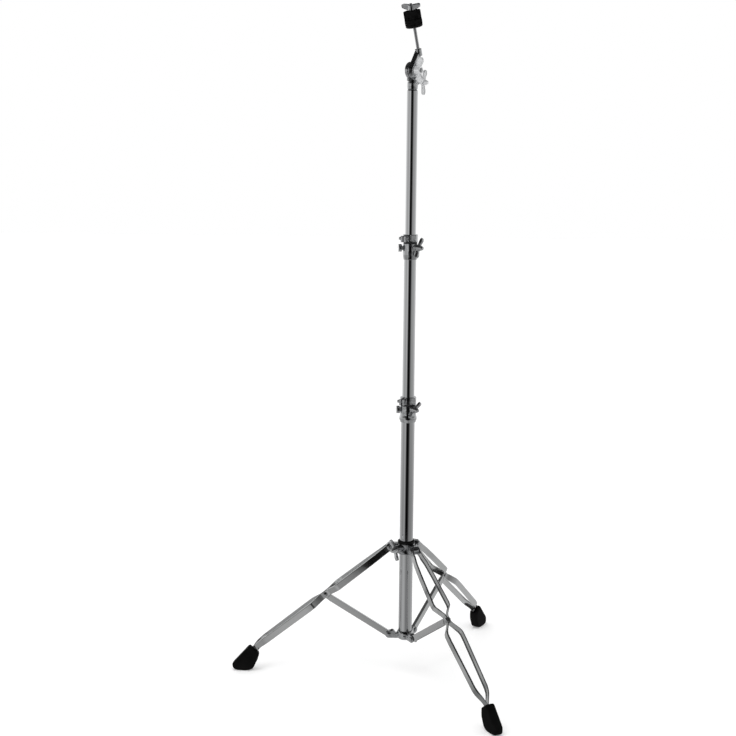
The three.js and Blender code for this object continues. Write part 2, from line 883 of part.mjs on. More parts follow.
const lockBase = bushFlangeHeight + 2 * gap;

function memoryLock({ innerTube, lockTurn }) {
  const outer = innerTube + gap + lockWall;
  const earHalf = lockSlot / 2 + lockEar;
  const ring = rod(outer, 0, lockHeight, tubeSides);
  const ears = block(innerTube, lockEarReach, -earHalf, earHalf, 0, lockHeight - overrun);
  const key = block(innerTube, lockKeyReach, -lockEar, lockEar, lockHeight - lockKeyHeight, lockHeight);
  return cut(
    join(ring, ears, key.rotateZ(degrees(lockTurn))),
    rod(innerTube + gap, -overrun, lockHeight + overrun, tubeSides),
    block(innerTube - overrun, lockEarReach + overrun, -lockSlot / 2, lockSlot / 2, -overrun, lockHeight + overrun),
    sidePin(lockScrewRadius + gap, lockEarReach, lockScrewReach, lockHeight / 2),
  );
}

// A square headed key screw along y, through both ears
function lockScrew() {
  const earHalf = lockSlot / 2 + lockEar;
  const shank = sidePin(lockScrewRadius, earHalf + 2 * gap, 0, 0);
  const collarPlate = sidePin(lockScrewHead, lockScrewRadius / 2, 0, 0);
  const square = block(
    -lockScrewRadius,
    lockScrewRadius,
    -lockScrewHeadLength,
    lockScrewRadius / 2,
    -lockScrewRadius,
    lockScrewRadius,
  );
  const seat = -(earHalf + gap + lockScrewRadius / 2);
  return join(shank, collarPlate.translate(0, seat, 0), square.translate(0, seat, 0));
}

for (const [name, joint] of Object.entries(heightJoints)) {
  addMesh(stand, `${name}_clamp`, jointCasting(joint), chrome);
  addMesh(stand, `${name}_clamp_bush`, jointBush(joint), blackNylon);
  const bushOuter = joint.innerTube + gap + bushWall;
  addWingBolt(`${name}_clamp_bolt`, {
    azimuth: joint.boltAzimuth,
    height: joint.tubeTop + joint.boltRise,
    seat: bossReach + gap,
    tip: bushOuter + 3 * gap + shoeLength,
    span: joint.wingSpan,
    turn: joint.boltTurn,
    shoeStart: bushOuter + 2 * gap,
  });
  const lock = turnedGroup(stand, joint.lockAzimuth);
  lock.position.z = joint.tubeTop + joint.rise + lockBase;
  addMesh(lock, `${name}_memory_lock`, memoryLock(joint), chrome);
  addMesh(lock, `${name}_lock_screw`, lockScrew(), satinSteel).position.set(lockScrewReach, 0, lockHeight / 2);
}

addMesh(
  stand,
  'middle_tube',
  pipe(middleTubeRadius - tubeWall, middleTubeRadius, middleTubeBottom, middleTubeTop, tubeSides),
  chrome,
);
addMesh(
  stand,
  'upper_tube',
  turned(
    [
      [upperTubeRadius - tubeWall, upperTubeBottom],
      [upperTubeRadius, upperTubeBottom],
      [upperTubeRadius, socketBottom - gap - tubeWall],
      [upperTubeRadius - tubeWall, socketBottom - gap],
      [spigotRadius, socketBottom - gap],
      [spigotRadius, upperTubeTop],
      [spigotRadius - tubeWall, upperTubeTop],
      [spigotRadius - tubeWall, socketBottom - gap - tubeWall],
      [upperTubeRadius - tubeWall, socketBottom - gap - 2 * tubeWall],
      [upperTubeRadius - tubeWall, upperTubeBottom],
    ],
    tubeSides,
  ),
  chrome,
);

// Tilter, about +X as the tilt axis, with z = 0 at the axis

// Radial teeth standing on a face at x = face, pointing towards plus or minus x
function toothRing(face, direction) {
  const teeth = [];
  const pitch = 360 / toothCount;
  const base = face - direction * toothHeight;
  for (let i = 0; i < toothCount; i += 1) {
    const corners = [-0.5, 0, 0.5].map((share) => degrees((i + share) * pitch));
    const ring = (radius, angle, x) => new THREE.Vector3(x, radius * Math.cos(angle), radius * Math.sin(angle));
    const wedge = (radius, height) => [
      ring(radius, corners[0], base),
      ring(radius, corners[0], face),
      ring(radius, corners[1], face + direction * height),
      ring(radius, corners[2], face),
      ring(radius, corners[2], base),
    ];
    const section = [[0, 0], [0, 1], [1, 2], [2, 1], [2, 0]].map(([x, y]) => new THREE.Vector2(x, y));
    teeth.push(capped(loft([wedge(toothInnerRadius, toothHeight), wedge(toothOuterRadius, toothHeight)]), section));
  }
  return teeth;
}

function tilterBase() {
  const height = (z) => z - tiltHeight;
  const socket = rod(socketOuter, height(socketBottom), height(socketTop), tubeSides);
  const disc = crossRod(tiltDiscRadius, baseDiscBack, baseDiscFace, tubeSides);
  const neck = block(
    baseDiscBack + overrun,
    baseDiscFace - toothHeight,
    -tiltDiscRadius * tiltNeckShare,
    tiltDiscRadius * tiltNeckShare,
    height(socketTop - socketRoof),
    0,
  );
  const boss = crossRod(socketBossRadius, 0, socketBossReach, roundSides).translate(0, 0, height(socketBoltHeight));
  const bossTurn = degrees(socketBoltAzimuth - tiltAxisAzimuth);
  const thread = crossRod(shankRadius + gap, spigotRadius, socketBossReach + overrun, roundSides);
  return cut(
    join(socket, disc, neck, boss.rotateZ(bossTurn), ...toothRing(baseDiscFace, 1)),
    rod(spigotRadius + gap, height(socketBottom) - overrun, height(upperTubeTop) + gap, tubeSides),
    crossRod(tiltBoltRadius + gap, baseDiscBack - overrun, armDiscFront, roundSides),
    thread.translate(0, 0, height(socketBoltHeight)).rotateZ(bossTurn),
  );
}

// The arm, drawn with the rod upright: a disc that runs out into the rod's boss
function tilterArm() {
  const thickness = armDiscFront - armDiscFace;
  const middle = (armDiscFront + armDiscFace) / 2;
  const side = [
    ...arcPoints(0, 0, tiltDiscRadius, armArcStart, armArcEnd, discArcSteps),
    [rodOffset + rodBossRadius, rodBossBottom],
    [rodOffset + rodBossRadius, rodBossTop - overrun],
    [rodOffset - rodBossRadius, rodBossTop - overrun],
  ];
  const plate = uprightPlate(side, thickness).rotateZ(Math.PI / 2).translate(middle, 0, 0);
  const boss = rod(rodBossRadius, rodBossBottom, rodBossTop, roundSides).translate(middle, rodOffset, 0);
  return cut(
    join(plate, boss, ...toothRing(armDiscFace, -1)),
    crossRod(tiltBoltRadius + gap, armDiscFace - overrun, armDiscFront + overrun, roundSides),
    rod(rodRadius + gap, rodBottom - gap, rodTip, roundSides).translate(middle, rodOffset, 0),
  );
}

const tilter = turnedGroup(stand, tiltAxisAzimuth);
tilter.position.z = tiltHeight;
const armMiddle = (armDiscFront + armDiscFace) / 2;
addMesh(tilter, 'tilter_base', tilterBase(), chrome);
const boltHead = baseDiscBack - gap;
addMesh(
  tilter,
  'tilter_bolt',
  turned(
    [
      [0, boltHead - tiltBoltHeadHeight],
      [tiltBoltHeadRadius * tiltHeadCrownShare, boltHead - tiltBoltHeadHeight],
      [tiltBoltHeadRadius, boltHead - tiltBoltHeadHeight * tiltHeadRimShare],
      [tiltBoltHeadRadius, boltHead],
      [tiltBoltRadius, boltHead],
      [tiltBoltRadius, tiltBoltEnd],
      [0, tiltBoltEnd],
    ],
    roundSides,
  ).rotateY(Math.PI / 2),
  satinSteel,
);
addMesh(
  tilter,
  'tilter_wing_nut',
  wingNut({
    seat: armDiscFront + gap,
    span: tiltWingSpan,
    height: tiltWingHeight,
    hub: tiltHubRadius,
    length: tiltHubLength,
    bore: tiltBoltRadius + gap,
  }),
  chrome,
);

addWingBolt('socket_wing_bolt', {
  azimuth: socketBoltAzimuth,
  height: socketBoltHeight,
  seat: socketHubSeat,
  tip: spigotRadius + 2 * gap,
  span: socketWingSpan,
  turn: socketBoltTurn,
});

const lean = new THREE.Group();
lean.rotation.x = degrees(tiltLean);
tilter.add(lean);
addMesh(lean, 'tilter_arm', tilterArm(), chrome);

const rodGroup = new THREE.Group();
rodGroup.position.set(armMiddle, rodOffset, 0);
lean.add(rodGroup);

const seatTop = seatBottom + seatHeight;
const lowerFeltBottom = seatTop + gap;
const lowerFeltTop = lowerFeltBottom + lowerFeltHeight;
const upperFeltBottom = lowerFeltTop + gap;
const upperFeltTop = upperFeltBottom + upperFeltHeight;
const nutBottom = upperFeltTop + gap;

function feltWasher(bottom, height, radius) {
  const top = bottom + height;
  return turned(
    [
      [feltBore, bottom],
      [radius - feltRound, bottom],
      [radius, bottom + feltRound],
      [radius, top - feltRound],
      [radius - feltRound, top],
      [feltBore, top],
      [feltBore, bottom],
    ],
    tubeSides,
  );
}

addMesh(rodGroup, 'cymbal_rod', rod(rodRadius, rodBottom, rodTip, roundSides), satinSteel);
addMesh(
  rodGroup,
  'cymbal_seat',
  turned(
    [
      [rodRadius + gap, seatBottom],
      [seatRadius - seatChamfer, seatBottom],
      [seatRadius, seatBottom + seatChamfer],
      [seatRadius, seatTop],
      [rodRadius + gap, seatTop],
      [rodRadius + gap, seatBottom],
    ],
    tubeSides,
  ),
  blackNylon,
);
addMesh(
  rodGroup,
  'rod_sleeve',
  pipe(rodRadius + gap, rodRadius + gap + sleeveWall, seatTop + gap, upperFeltTop - gap, roundSides),
  blackNylon,
);
addMesh(rodGroup, 'lower_felt', feltWasher(lowerFeltBottom, lowerFeltHeight, lowerFeltRadius), blackFelt);
addMesh(rodGroup, 'upper_felt', feltWasher(upperFeltBottom, upperFeltHeight, upperFeltRadius), blackFelt);

const nutTurn = new THREE.Group();
nutTurn.rotation.z = degrees(topWingTurn);
rodGroup.add(nutTurn);
const topNut = wingNut({
  seat: nutBottom,
  span: topWingSpan,
  height: topWingHeight,
  hub: topNutHubRadius,
  length: topNutHubHeight,
  bore: rodRadius + gap,
});
addMesh(nutTurn, 'top_wing_nut', topNut.rotateY(-Math.PI / 2), chrome);

// Centre the stand on its own width
stand.updateMatrixWorld(true);
const box = new THREE.Box3().setFromObject(stand, true);
stand.position.x = -(box.min.x + box.max.x) / 2;

const group = new THREE.Group();
group.name = 'straight_cymbal_stand';
group.add(stand);

export default group;
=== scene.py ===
import json
import math
import bpy
from mathutils import Matrix, Vector


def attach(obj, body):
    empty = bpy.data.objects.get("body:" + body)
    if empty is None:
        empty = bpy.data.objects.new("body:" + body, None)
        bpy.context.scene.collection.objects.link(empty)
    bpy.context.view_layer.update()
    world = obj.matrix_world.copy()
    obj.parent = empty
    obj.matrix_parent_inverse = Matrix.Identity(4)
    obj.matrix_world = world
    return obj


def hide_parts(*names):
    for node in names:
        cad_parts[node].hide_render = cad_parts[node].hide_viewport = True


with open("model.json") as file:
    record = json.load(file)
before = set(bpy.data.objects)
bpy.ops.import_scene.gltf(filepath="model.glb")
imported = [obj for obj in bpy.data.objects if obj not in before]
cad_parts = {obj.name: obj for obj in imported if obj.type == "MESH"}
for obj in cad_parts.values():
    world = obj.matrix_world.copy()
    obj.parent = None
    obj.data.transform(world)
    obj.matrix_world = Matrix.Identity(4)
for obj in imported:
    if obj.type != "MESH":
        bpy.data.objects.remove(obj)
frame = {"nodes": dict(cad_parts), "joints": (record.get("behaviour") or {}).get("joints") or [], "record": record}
bpy.ops.object.select_all(action="DESELECT")
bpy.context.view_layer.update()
record = frame["record"]
bodyOfNode = {node: body for body, nodes in record["behaviour"]["bodies"].items() for node in nodes}
slotOfNode = {row["node"]: row["material_slot"] for row in record["subparts"]}
pivotOf = {joint["name"]: Vector(joint["pos_m"]) for joint in frame["joints"] if joint.get("pos_m")}
axisX = pivotOf["tilter_swivel"].x
mm = 0.001
bpy.context.scene.view_settings.view_transform = "Standard"
print("frame loaded,", len(frame["nodes"]), "nodes")

# camera, world, floor and lamps

cameraLook = {"distance": 2.950, "height": 1.17406, "yaw": 1.6495, "pitch": 9.7193, "roll": 0.5076, "lens": 70.007,
              "sensor": 36, "farthest": 60}
worldLook = {"soft": 0.72, "paper": 1.0}
# what the plating mirrors, by degrees round from the camera: a dark room in front, paper at the sides and behind
roomRound = [(-180, 0.88), (-150, 0.95), (-121, 0.68), (-100, 0.54), (-80, 0.42), (-60, 0.40), (-40, 0.58),
             (-27, 0.23), (-18, 0.012), (0, 0.0), (15, 0.01), (25, 0.08), (40, 0.32), (60, 0.36), (81, 0.38),
             (106, 0.50), (125, 0.62), (150, 0.74), (180, 0.88)]
# how bright that room is, by the sine of the angle up from the floor
roomHeight = [(-1.0, 0.6), (-0.26, 0.66), (-0.13, 1.0), (0.17, 1.0), (0.34, 0.06), (0.8, 0.05), (1.0, 0.16)]
# the paper near the feet, as the plating mirrors it, by degrees round from the camera
floorRound = [(-180, 0.46), (-137, 0.46), (-100, 0.36), (-75, 0.30), (-52, 0.42), (-32, 0.42), (-12, 0.31),
              (4, 0.19), (14, 0.19), (30, 0.29), (75, 0.32), (100, 0.40), (137, 0.48), (180, 0.48)]
floorLook = {"size": 24, "paper": 0.86, "glow": 0.20, "near": 0.92, "far": 1.0}
lamps = {
    "overheadSun": {"power": 0.9, "place": (0, 0, 3), "spread": 42, "tilt": (14, -12)},
    "leftBank": {"power": 15, "place": (-2.4, -2.2, 1.9), "size": (1.6, 2.4)},
    "rightBank": {"power": 8, "place": (2.6, -1.9, 1.7), "size": (1.6, 2.4)},
}
bankAim = 0.7  # the height on the stand that both banks point at


def addCamera(look):
    yaw, pitch, roll = (math.radians(look[key]) for key in ("yaw", "pitch", "roll"))
    forward = Vector((-math.sin(yaw) * math.cos(pitch), math.cos(yaw) * math.cos(pitch), -math.sin(pitch)))
    right = Vector((math.cos(yaw), math.sin(yaw), 0))
    up = right.cross(forward)
    across = math.cos(roll) * right + math.sin(roll) * up
    upward = math.cos(roll) * up - math.sin(roll) * right
    turn = Matrix((across, upward, -forward)).transposed().to_4x4()
    bpy.ops.object.camera_add()
    camera = bpy.context.object
    camera.data.lens = look["lens"]
    camera.data.sensor_width = look["sensor"]
    camera.data.clip_end = look["farthest"]
    camera.matrix_world = Matrix.Translation((axisX, -look["distance"], look["height"])) @ turn
    bpy.context.scene.camera = camera


def addNode(nodes, kind, **settings):
    node = nodes.new(kind)
    for key, value in settings.items():
        setattr(node, key, value)
    return node


def greyRamp(nodes, stops):
    ramp = nodes.new("ShaderNodeValToRGB")
    elements = ramp.color_ramp.elements
    for element, (place, level) in zip(elements, (stops[0], stops[-1])):
        element.position = place
        element.color = (level, level, level, 1)
    for place, level in stops[1:-1]:
        elements.new(place).color = (level, level, level, 1)
    return ramp


def stretch(nodes, links, source, low, high, newLow=0.0, newHigh=1.0):
    spread = nodes.new("ShaderNodeMapRange")
    spread.inputs["From Min"].default_value = low
    spread.inputs["From Max"].default_value = high
    spread.inputs["To Min"].default_value = newLow
    spread.inputs["To Max"].default_value = newHigh
    links.new(source, spread.inputs["Value"])
    return spread.outputs["Result"]


def mixShaders(nodes, links, share, first, second):
    mix = nodes.new("ShaderNodeMixShader")
    for source, socket in zip((share, first, second), mix.inputs):
        links.new(source, socket)
    return mix.outputs[0]


def whiteLight(nodes, strength):
    light = nodes.new("ShaderNodeBackground")
    light.inputs["Color"].default_value = (1, 1, 1, 1)
    light.inputs["Strength"].default_value = strength
    return light.outputs[0]


# Grey levels laid round the upright axis, nought degrees towards the camera
def rampRound(nodes, links, x, y, stops):
    front = addNode(nodes, "ShaderNodeMath", operation="MULTIPLY")
    front.inputs[1].default_value = -1
    links.new(y, front.inputs[0])
    angle = addNode(nodes, "ShaderNodeMath", operation="ARCTAN2")
    links.new(x, angle.inputs[0])
    links.new(front.outputs[0], angle.inputs[1])
    around = greyRamp(nodes, [((degree + 180) / 360, level) for degree, level in stops])
    links.new(stretch(nodes, links, angle.outputs[0], -math.pi, math.pi), around.inputs["Fac"])
    return around.outputs["Color"]


# White paper to the eye and a soft light on the stand, while the plating mirrors the room
def addWorld(look):
    world = bpy.data.worlds.new("paperStudio")
    bpy.context.scene.world = world
    world.use_nodes = True
    nodes, links = world.node_tree.nodes, world.node_tree.links
    nodes.clear()
    paths = nodes.new("ShaderNodeLightPath")
    split = nodes.new("ShaderNodeSeparateXYZ")
    links.new(nodes.new("ShaderNodeTexCoord").outputs["Generated"], split.inputs[0])
    around = rampRound(nodes, links, split.outputs["X"], split.outputs["Y"], roomRound)
    height = greyRamp(nodes, [((sine + 1) / 2, level) for sine, level in roomHeight])
    links.new(stretch(nodes, links, split.outputs["Z"], -1, 1), height.inputs["Fac"])
    room = addNode(nodes, "ShaderNodeMix", data_type="RGBA", blend_type="MULTIPLY")
    room.inputs["Factor"].default_value = 1
    links.new(around, room.inputs["A"])
    links.new(height.outputs["Color"], room.inputs["B"])
    mirrored = nodes.new("ShaderNodeBackground")
    links.new(room.outputs["Result"], mirrored.inputs["Color"])
    soft, paper = whiteLight(nodes, look["soft"]), whiteLight(nodes, look["paper"])
    byGloss = mixShaders(nodes, links, paths.outputs["Is Glossy Ray"], soft, mirrored.outputs[0])
    seen = mixShaders(nodes, links, paths.outputs["Is Camera Ray"], byGloss, paper)
    links.new(seen, nodes.new("ShaderNodeOutputWorld").inputs["Surface"])


def newMaterial(name):
    material = bpy.data.materials.new(name)
    material.use_nodes = True
    material.node_tree.nodes.clear()
    return material, material.node_tree.nodes, material.node_tree.links


# White paper to the eye, with the stand's shadow on it; the plating mirrors it near the feet and the room past it
def addFloor(look):
    bpy.ops.mesh.primitive_plane_add(size=look["size"], location=(axisX, 0, 0))
    floor = bpy.context.object
    floor.name = "paperFloor"
    bpy.ops.object.transform_apply(location=True, rotation=False, scale=False)
    material, nodes, links = newMaterial("palePaper")
    paths = nodes.new("ShaderNodeLightPath")
    paper = nodes.new("ShaderNodeBsdfDiffuse")
    paper.inputs["Color"].default_value = (look["paper"],) * 3 + (1,)
    glow = nodes.new("ShaderNodeEmission")
    level = addNode(nodes, "ShaderNodeMath", operation="MULTIPLY")
    level.inputs[1].default_value = look["glow"]
    links.new(paths.outputs["Is Camera Ray"], level.inputs[0])
    links.new(level.outputs[0], glow.inputs["Strength"])
    lit = nodes.new("ShaderNodeAddShader")
    links.new(paper.outputs[0], lit.inputs[0])
    links.new(glow.outputs[0], lit.inputs[1])
    fromAxis = addNode(nodes, "ShaderNodeVectorMath", operation="SUBTRACT")
    fromAxis.inputs[1].default_value = (axisX, 0, 0)
    links.new(nodes.new("ShaderNodeTexCoord").outputs["Object"], fromAxis.inputs[0])
    distance = addNode(nodes, "ShaderNodeVectorMath", operation="LENGTH")
    links.new(fromAxis.outputs[0], distance.inputs[0])
    split = nodes.new("ShaderNodeSeparateXYZ")
    links.new(fromAxis.outputs[0], split.inputs[0])
    pool = nodes.new("ShaderNodeEmission")
    links.new(rampRound(nodes, links, split.outputs["X"], split.outputs["Y"], floorRound), pool.inputs["Color"])
    beyond = nodes.new("ShaderNodeBsdfTransparent")
    outward = stretch(nodes, links, distance.outputs["Value"], look["near"], look["far"])
    mirrored = mixShaders(nodes, links, outward, pool.outputs[0], beyond.outputs[0])
    both = mixShaders(nodes, links, paths.outputs["Is Glossy Ray"], lit.outputs[0], mirrored)
    links.new(both, nodes.new("ShaderNodeOutputMaterial").inputs["Surface"])
    floor.data.materials.append(material)


def addLamp(name, look):
    kind = "SUN" if "spread" in look else "AREA"
    bpy.ops.object.light_add(type=kind, location=look["place"])
    lamp = bpy.context.object
    if kind == "SUN":
        lamp.data.angle = math.radians(look["spread"])
        lamp.rotation_euler = (*(math.radians(degrees) for degrees in look["tilt"]), 0)
    else:
        lamp.data.shape = "RECTANGLE"
        lamp.data.size, lamp.data.size_y = look["size"]
        aim = Vector((axisX, 0, bankAim)) - Vector(look["place"])
        lamp.rotation_euler = aim.to_track_quat("-Z", "Y").to_euler()
    lamp.name = name
    lamp.data.energy = look["power"]
    lamp.visible_glossy = False


addCamera(cameraLook)
addWorld(worldLook)
addFloor(floorLook)
for lampName, lampLook in lamps.items():
    addLamp(lampName, lampLook)
print("camera, paper, room and lamps in place")

# finishes

chromePlate = {"colour": (0.80, 0.81, 0.82), "roughness": 0.045, "smudge": 0.04, "ripple": 0.02, "scale": 22}
castingPlate = {"colour": (0.70, 0.71, 0.72), "roughness": 0.08, "smudge": 0.08, "ripple": 0.75, "scale": 34,
                "wave": 1.1}
# painted shade: the collar's casting plate in a darker colour, standing in for the shade and dark reflections that fall
# on it
collarPlate = {"colour": (0.50, 0.51, 0.52), "roughness": 0.08, "smudge": 0.08, "ripple": 0.80, "scale": 34,
               "wave": 1.2}
# painted highlight: a lighter plate for the wings, standing in for the light they catch
wingPlate = {"colour": (0.93, 0.94, 0.95), "roughness": 0.10, "smudge": 0.12, "ripple": 0.35, "scale": 40,
             "wave": 0.6}
# painted highlight: the same plate half dull, so these wings render nearly white
whiteHighlightPlate = {**wingPlate, "metal": 0.55}
rodSteel = {"colour": (0.74, 0.75, 0.76), "roughness": 0.36, "smudge": 0.12, "ripple": 0.04, "scale": 60}
pressedSteel = {"colour": (0.78, 0.79, 0.79), "roughness": 0.10, "smudge": 0.09, "ripple": 0.06, "scale": 40}
screwSteel = {"colour": (0.62, 0.63, 0.64), "roughness": 0.20, "smudge": 0.12, "ripple": 0.05, "scale": 60}
footRubber = {"dark": 0.0018, "light": 0.005, "roughness": 0.62, "shine": 0.10, "cloud": 45, "grain": 900, "bump": 0.35}
blackNylon = {"dark": 0.003, "light": 0.007, "roughness": 0.42, "shine": 0.20, "cloud": 60, "grain": 1500, "bump": 0.15}
woolFelt = {"dark": 0.0015, "light": 0.008, "roughness": 0.98, "shine": 0.03, "cloud": 260, "grain": 2600, "bump": 0.9}
# shared by the plated finishes: haze where hands have been, and slow waves under the shine
platedLook = {"hazeDetail": 3, "hazeFrom": 0.4, "hazeTo": 0.75, "finer": 4, "wave": 0.3}
# shared by the moulded and felted ones: clouds of a lighter, duller tone
mouldedLook = {"cloudDetail": 4, "cloudFrom": 0.3, "cloudTo": 0.7, "duller": 0.12, "wave": 0.2}
bumpDetail = 2


def addNoise(nodes, links, coords, scale, detail):
    noise = nodes.new("ShaderNodeTexNoise")
    noise.inputs["Scale"].default_value = scale
    noise.inputs["Detail"].default_value = detail
    links.new(coords, noise.inputs["Vector"])
    return noise.outputs["Fac"]


def addBump(nodes, links, coords, scale, strength, distance):
    bump = nodes.new("ShaderNodeBump")
    bump.inputs["Strength"].default_value = strength
    bump.inputs["Distance"].default_value = distance
    links.new(addNoise(nodes, links, coords, scale, bumpDetail), bump.inputs["Height"])
    return bump.outputs["Normal"]


def plated(name, look):
    material, nodes, links = newMaterial(name)
    metal = nodes.new("ShaderNodeBsdfPrincipled")
    metal.inputs["Base Color"].default_value = (*look["colour"], 1)
    metal.inputs["Metallic"].default_value = look.get("metal", 1)
    coords = nodes.new("ShaderNodeTexCoord").outputs["Object"]
    film = addNoise(nodes, links, coords, look["scale"], platedLook["hazeDetail"])
    haze = stretch(nodes, links, film, platedLook["hazeFrom"], platedLook["hazeTo"],
                   look["roughness"], look["roughness"] + look["smudge"])
    links.new(haze, metal.inputs["Roughness"])
    wave = look.get("wave", platedLook["wave"]) * mm
    ripple = addBump(nodes, links, coords, look["scale"] * platedLook["finer"], look["ripple"], wave)
    links.new(ripple, metal.inputs["Normal"])
    links.new(metal.outputs[0], nodes.new("ShaderNodeOutputMaterial").inputs["Surface"])
    return material


def moulded(name, look):
    material, nodes, links = newMaterial(name)
    body = nodes.new("ShaderNodeBsdfPrincipled")
    body.inputs["Specular IOR Level"].default_value = look["shine"]
    coords = nodes.new("ShaderNodeTexCoord").outputs["Object"]
    cloud = addNoise(nodes, links, coords, look["cloud"], mouldedLook["cloudDetail"])
    low, high = mouldedLook["cloudFrom"], mouldedLook["cloudTo"]
    tones = greyRamp(nodes, [(low, look["dark"]), (high, look["light"])])
    links.new(cloud, tones.inputs["Fac"])
    links.new(tones.outputs["Color"], body.inputs["Base Color"])
    dullest = min(look["roughness"] + mouldedLook["duller"], 1)
    links.new(stretch(nodes, links, cloud, low, high, look["roughness"], dullest), body.inputs["Roughness"])
    grain = addBump(nodes, links, coords, look["grain"], look["bump"], mouldedLook["wave"] * mm)
    links.new(grain, body.inputs["Normal"])
    links.new(body.outputs[0], nodes.new("ShaderNodeOutputMaterial").inputs["Surface"])
    return material


finishes = {
    "chrome_plate": plated("chromePlate", chromePlate),
    "satin_steel": plated("pressedSteelPlate", pressedSteel),
    "black_rubber": moulded("footRubber", footRubber),
    "black_nylon": moulded("blackNylon", blackNylon),
    "black_felt": moulded("woolFelt", woolFelt),
}
screwPlate = plated("screwSteel", screwSteel)
castPlate = plated("castingPlate", castingPlate)  # die castings, wavy under their plating
# painted shade: the casting plate again in a darker colour, for the collar
shadedCastPlate = plated("collarPlate", collarPlate)  # the same on the collar, darker
# painted highlight: the lighter plate on the collar's wing bolt, and the nearly white one on the socket bolt and the
# tilter's nut
boltHighlightPlate = plated("wingPlate", wingPlate)  # the collar's wing bolt
paleHighlightPlate = plated("whiteHighlightPlate", whiteHighlightPlate)  # the tilter's wings, nearly white under the lamps
rodPlate = plated("rodSteel", rodSteel)
print("finishes made")

# ways of making and placing pieces, in millimetres

latheWeld, copyWeld = 0.002, 0.02  # points nearer to each other than this become one
copyFlat = 1.0  # degrees by which a copied solid's facets may bend and still be one face
facing = 0.9  # how much of a face's normal lies along z before it counts as looking that way
filletShare = 0.5  # how far each round of smoothing moves a casting's skin
castFaces = 9000  # past this a piece is finely meshed all over
castAngle, screwAngle = 60, 50  # degrees of a crease that still shades as round
past = 2  # how far a cutting tool stands out of what it cuts


def pieceName(node):
    words = node.split("_")
    return words[0] + "".join(word.capitalize() for word in words[1:])


def only(obj):
    bpy.ops.object.select_all(action="DESELECT")
    obj.select_set(True)
    bpy.context.view_layer.objects.active = obj


def applyAll(obj):
    only(obj)
    for modifier in list(obj.modifiers):
        bpy.ops.object.modifier_apply(modifier=modifier.name)


def turnAbout(axis, degrees):
    return Matrix.Rotation(math.radians(degrees), 4, axis)


def shift(x=0.0, y=0.0, z=0.0):
    return Matrix.Translation((x * mm, y * mm, z * mm))


def upright(azimuth=0.0, height=0.0):
    return Matrix.Translation((axisX, 0, 0)) @ shift(z=height) @ turnAbout("Z", azimuth)


lying = turnAbout("Y", 90)  # from standing on z to lying along x
sideways = turnAbout("X", 90)  # from standing on z to lying along y


def settle(obj, place):
    only(obj)
    obj.matrix_world = place @ obj.matrix_world
    bpy.ops.object.transform_apply(location=True, rotation=True, scale=True)
    return obj


def copyPiece(obj, place):
    twin = obj.copy()
    twin.data = obj.data.copy()
    bpy.context.scene.collection.objects.link(twin)
    return settle(twin, place)


def softenEdges(obj, width, angle=32, segments=2):
    bevel = obj.modifiers.new("softEdges", "BEVEL")
    bevel.width = width * mm
    bevel.segments = segments
    bevel.limit_method = "ANGLE"
    bevel.angle_limit = math.radians(angle)
    bevel.use_clamp_overlap = True
    applyAll(obj)
    return obj


# Shaded round, while the flat faces of a coarsely meshed piece stay flat between their softened edges
def shadeRound(obj, angle):
    only(obj)
    bpy.ops.object.shade_smooth_by_angle(angle=math.radians(angle))
    if len(obj.data.polygons) < castFaces:
        even = obj.modifiers.new("evenNormals", "WEIGHTED_NORMAL")
        even.keep_sharp = True
        applyAll(obj)


def finishPiece(obj, node, angle=40, material=None):
    shadeRound(obj, angle)
    obj.data.materials.clear()
    obj.data.materials.append(material or finishes[slotOfNode[node]])
    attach(obj, bodyOfNode[node])
    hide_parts(node)
    obj.name = pieceName(node)
    obj.data.name = obj.name


# One vertex, drawn on from point to point
def drawLine(points):
    bpy.ops.object.select_all(action="DESELECT")
    bpy.ops.mesh.primitive_plane_add(size=1)
    obj = bpy.context.object
    bpy.ops.object.mode_set(mode="EDIT")
    bpy.ops.mesh.select_mode(type="VERT")
    bpy.ops.mesh.select_all(action="SELECT")
    bpy.ops.mesh.merge(type="CENTER")
    bpy.ops.transform.translate(value=[c * mm for c in points[0]])
    for near, far in zip(points, points[1:]):
        step = [(b - a) * mm for a, b in zip(near, far)]
        bpy.ops.mesh.extrude_region_move(TRANSFORM_OT_translate={"value": step})
    return obj


# A profile of radius and height spun round z
def lathe(profile, sides=96):
    obj = drawLine([(radius, 0, height) for radius, height in profile])
    bpy.ops.mesh.select_all(action="SELECT")
    bpy.ops.mesh.spin(steps=sides, angle=math.tau, center=(0, 0, 0), axis=(0, 0, 1))
    bpy.ops.mesh.select_all(action="SELECT")
    bpy.ops.mesh.remove_doubles(threshold=latheWeld * mm)
    bpy.ops.mesh.select_all(action="SELECT")
    bpy.ops.mesh.normals_make_consistent(inside=False)
    bpy.ops.object.mode_set(mode="OBJECT")
    return obj


# Selects the faces that look along z, up or both ways, and stays in edit mode
def pickFaces(obj, bothWays):
    only(obj)
    bpy.ops.object.mode_set(mode="EDIT")
    bpy.ops.mesh.select_all(action="DESELECT")
    bpy.ops.object.mode_set(mode="OBJECT")
    for face in obj.data.polygons:
        face.select = (abs(face.normal.z) if bothWays else face.normal.z) > facing
    bpy.ops.object.mode_set(mode="EDIT")


# An outline in x and y, raised from one height to another
def plate(points, low, high):
    obj = drawLine([(x, y, low) for x, y in points])
    bpy.ops.mesh.select_all(action="SELECT")
    bpy.ops.mesh.edge_face_add()
    bpy.ops.mesh.extrude_region_move(TRANSFORM_OT_translate={"value": (0, 0, (high - low) * mm)})
    bpy.ops.mesh.select_all(action="SELECT")
    bpy.ops.mesh.normals_make_consistent(inside=False)
    bpy.ops.object.mode_set(mode="OBJECT")
    return obj


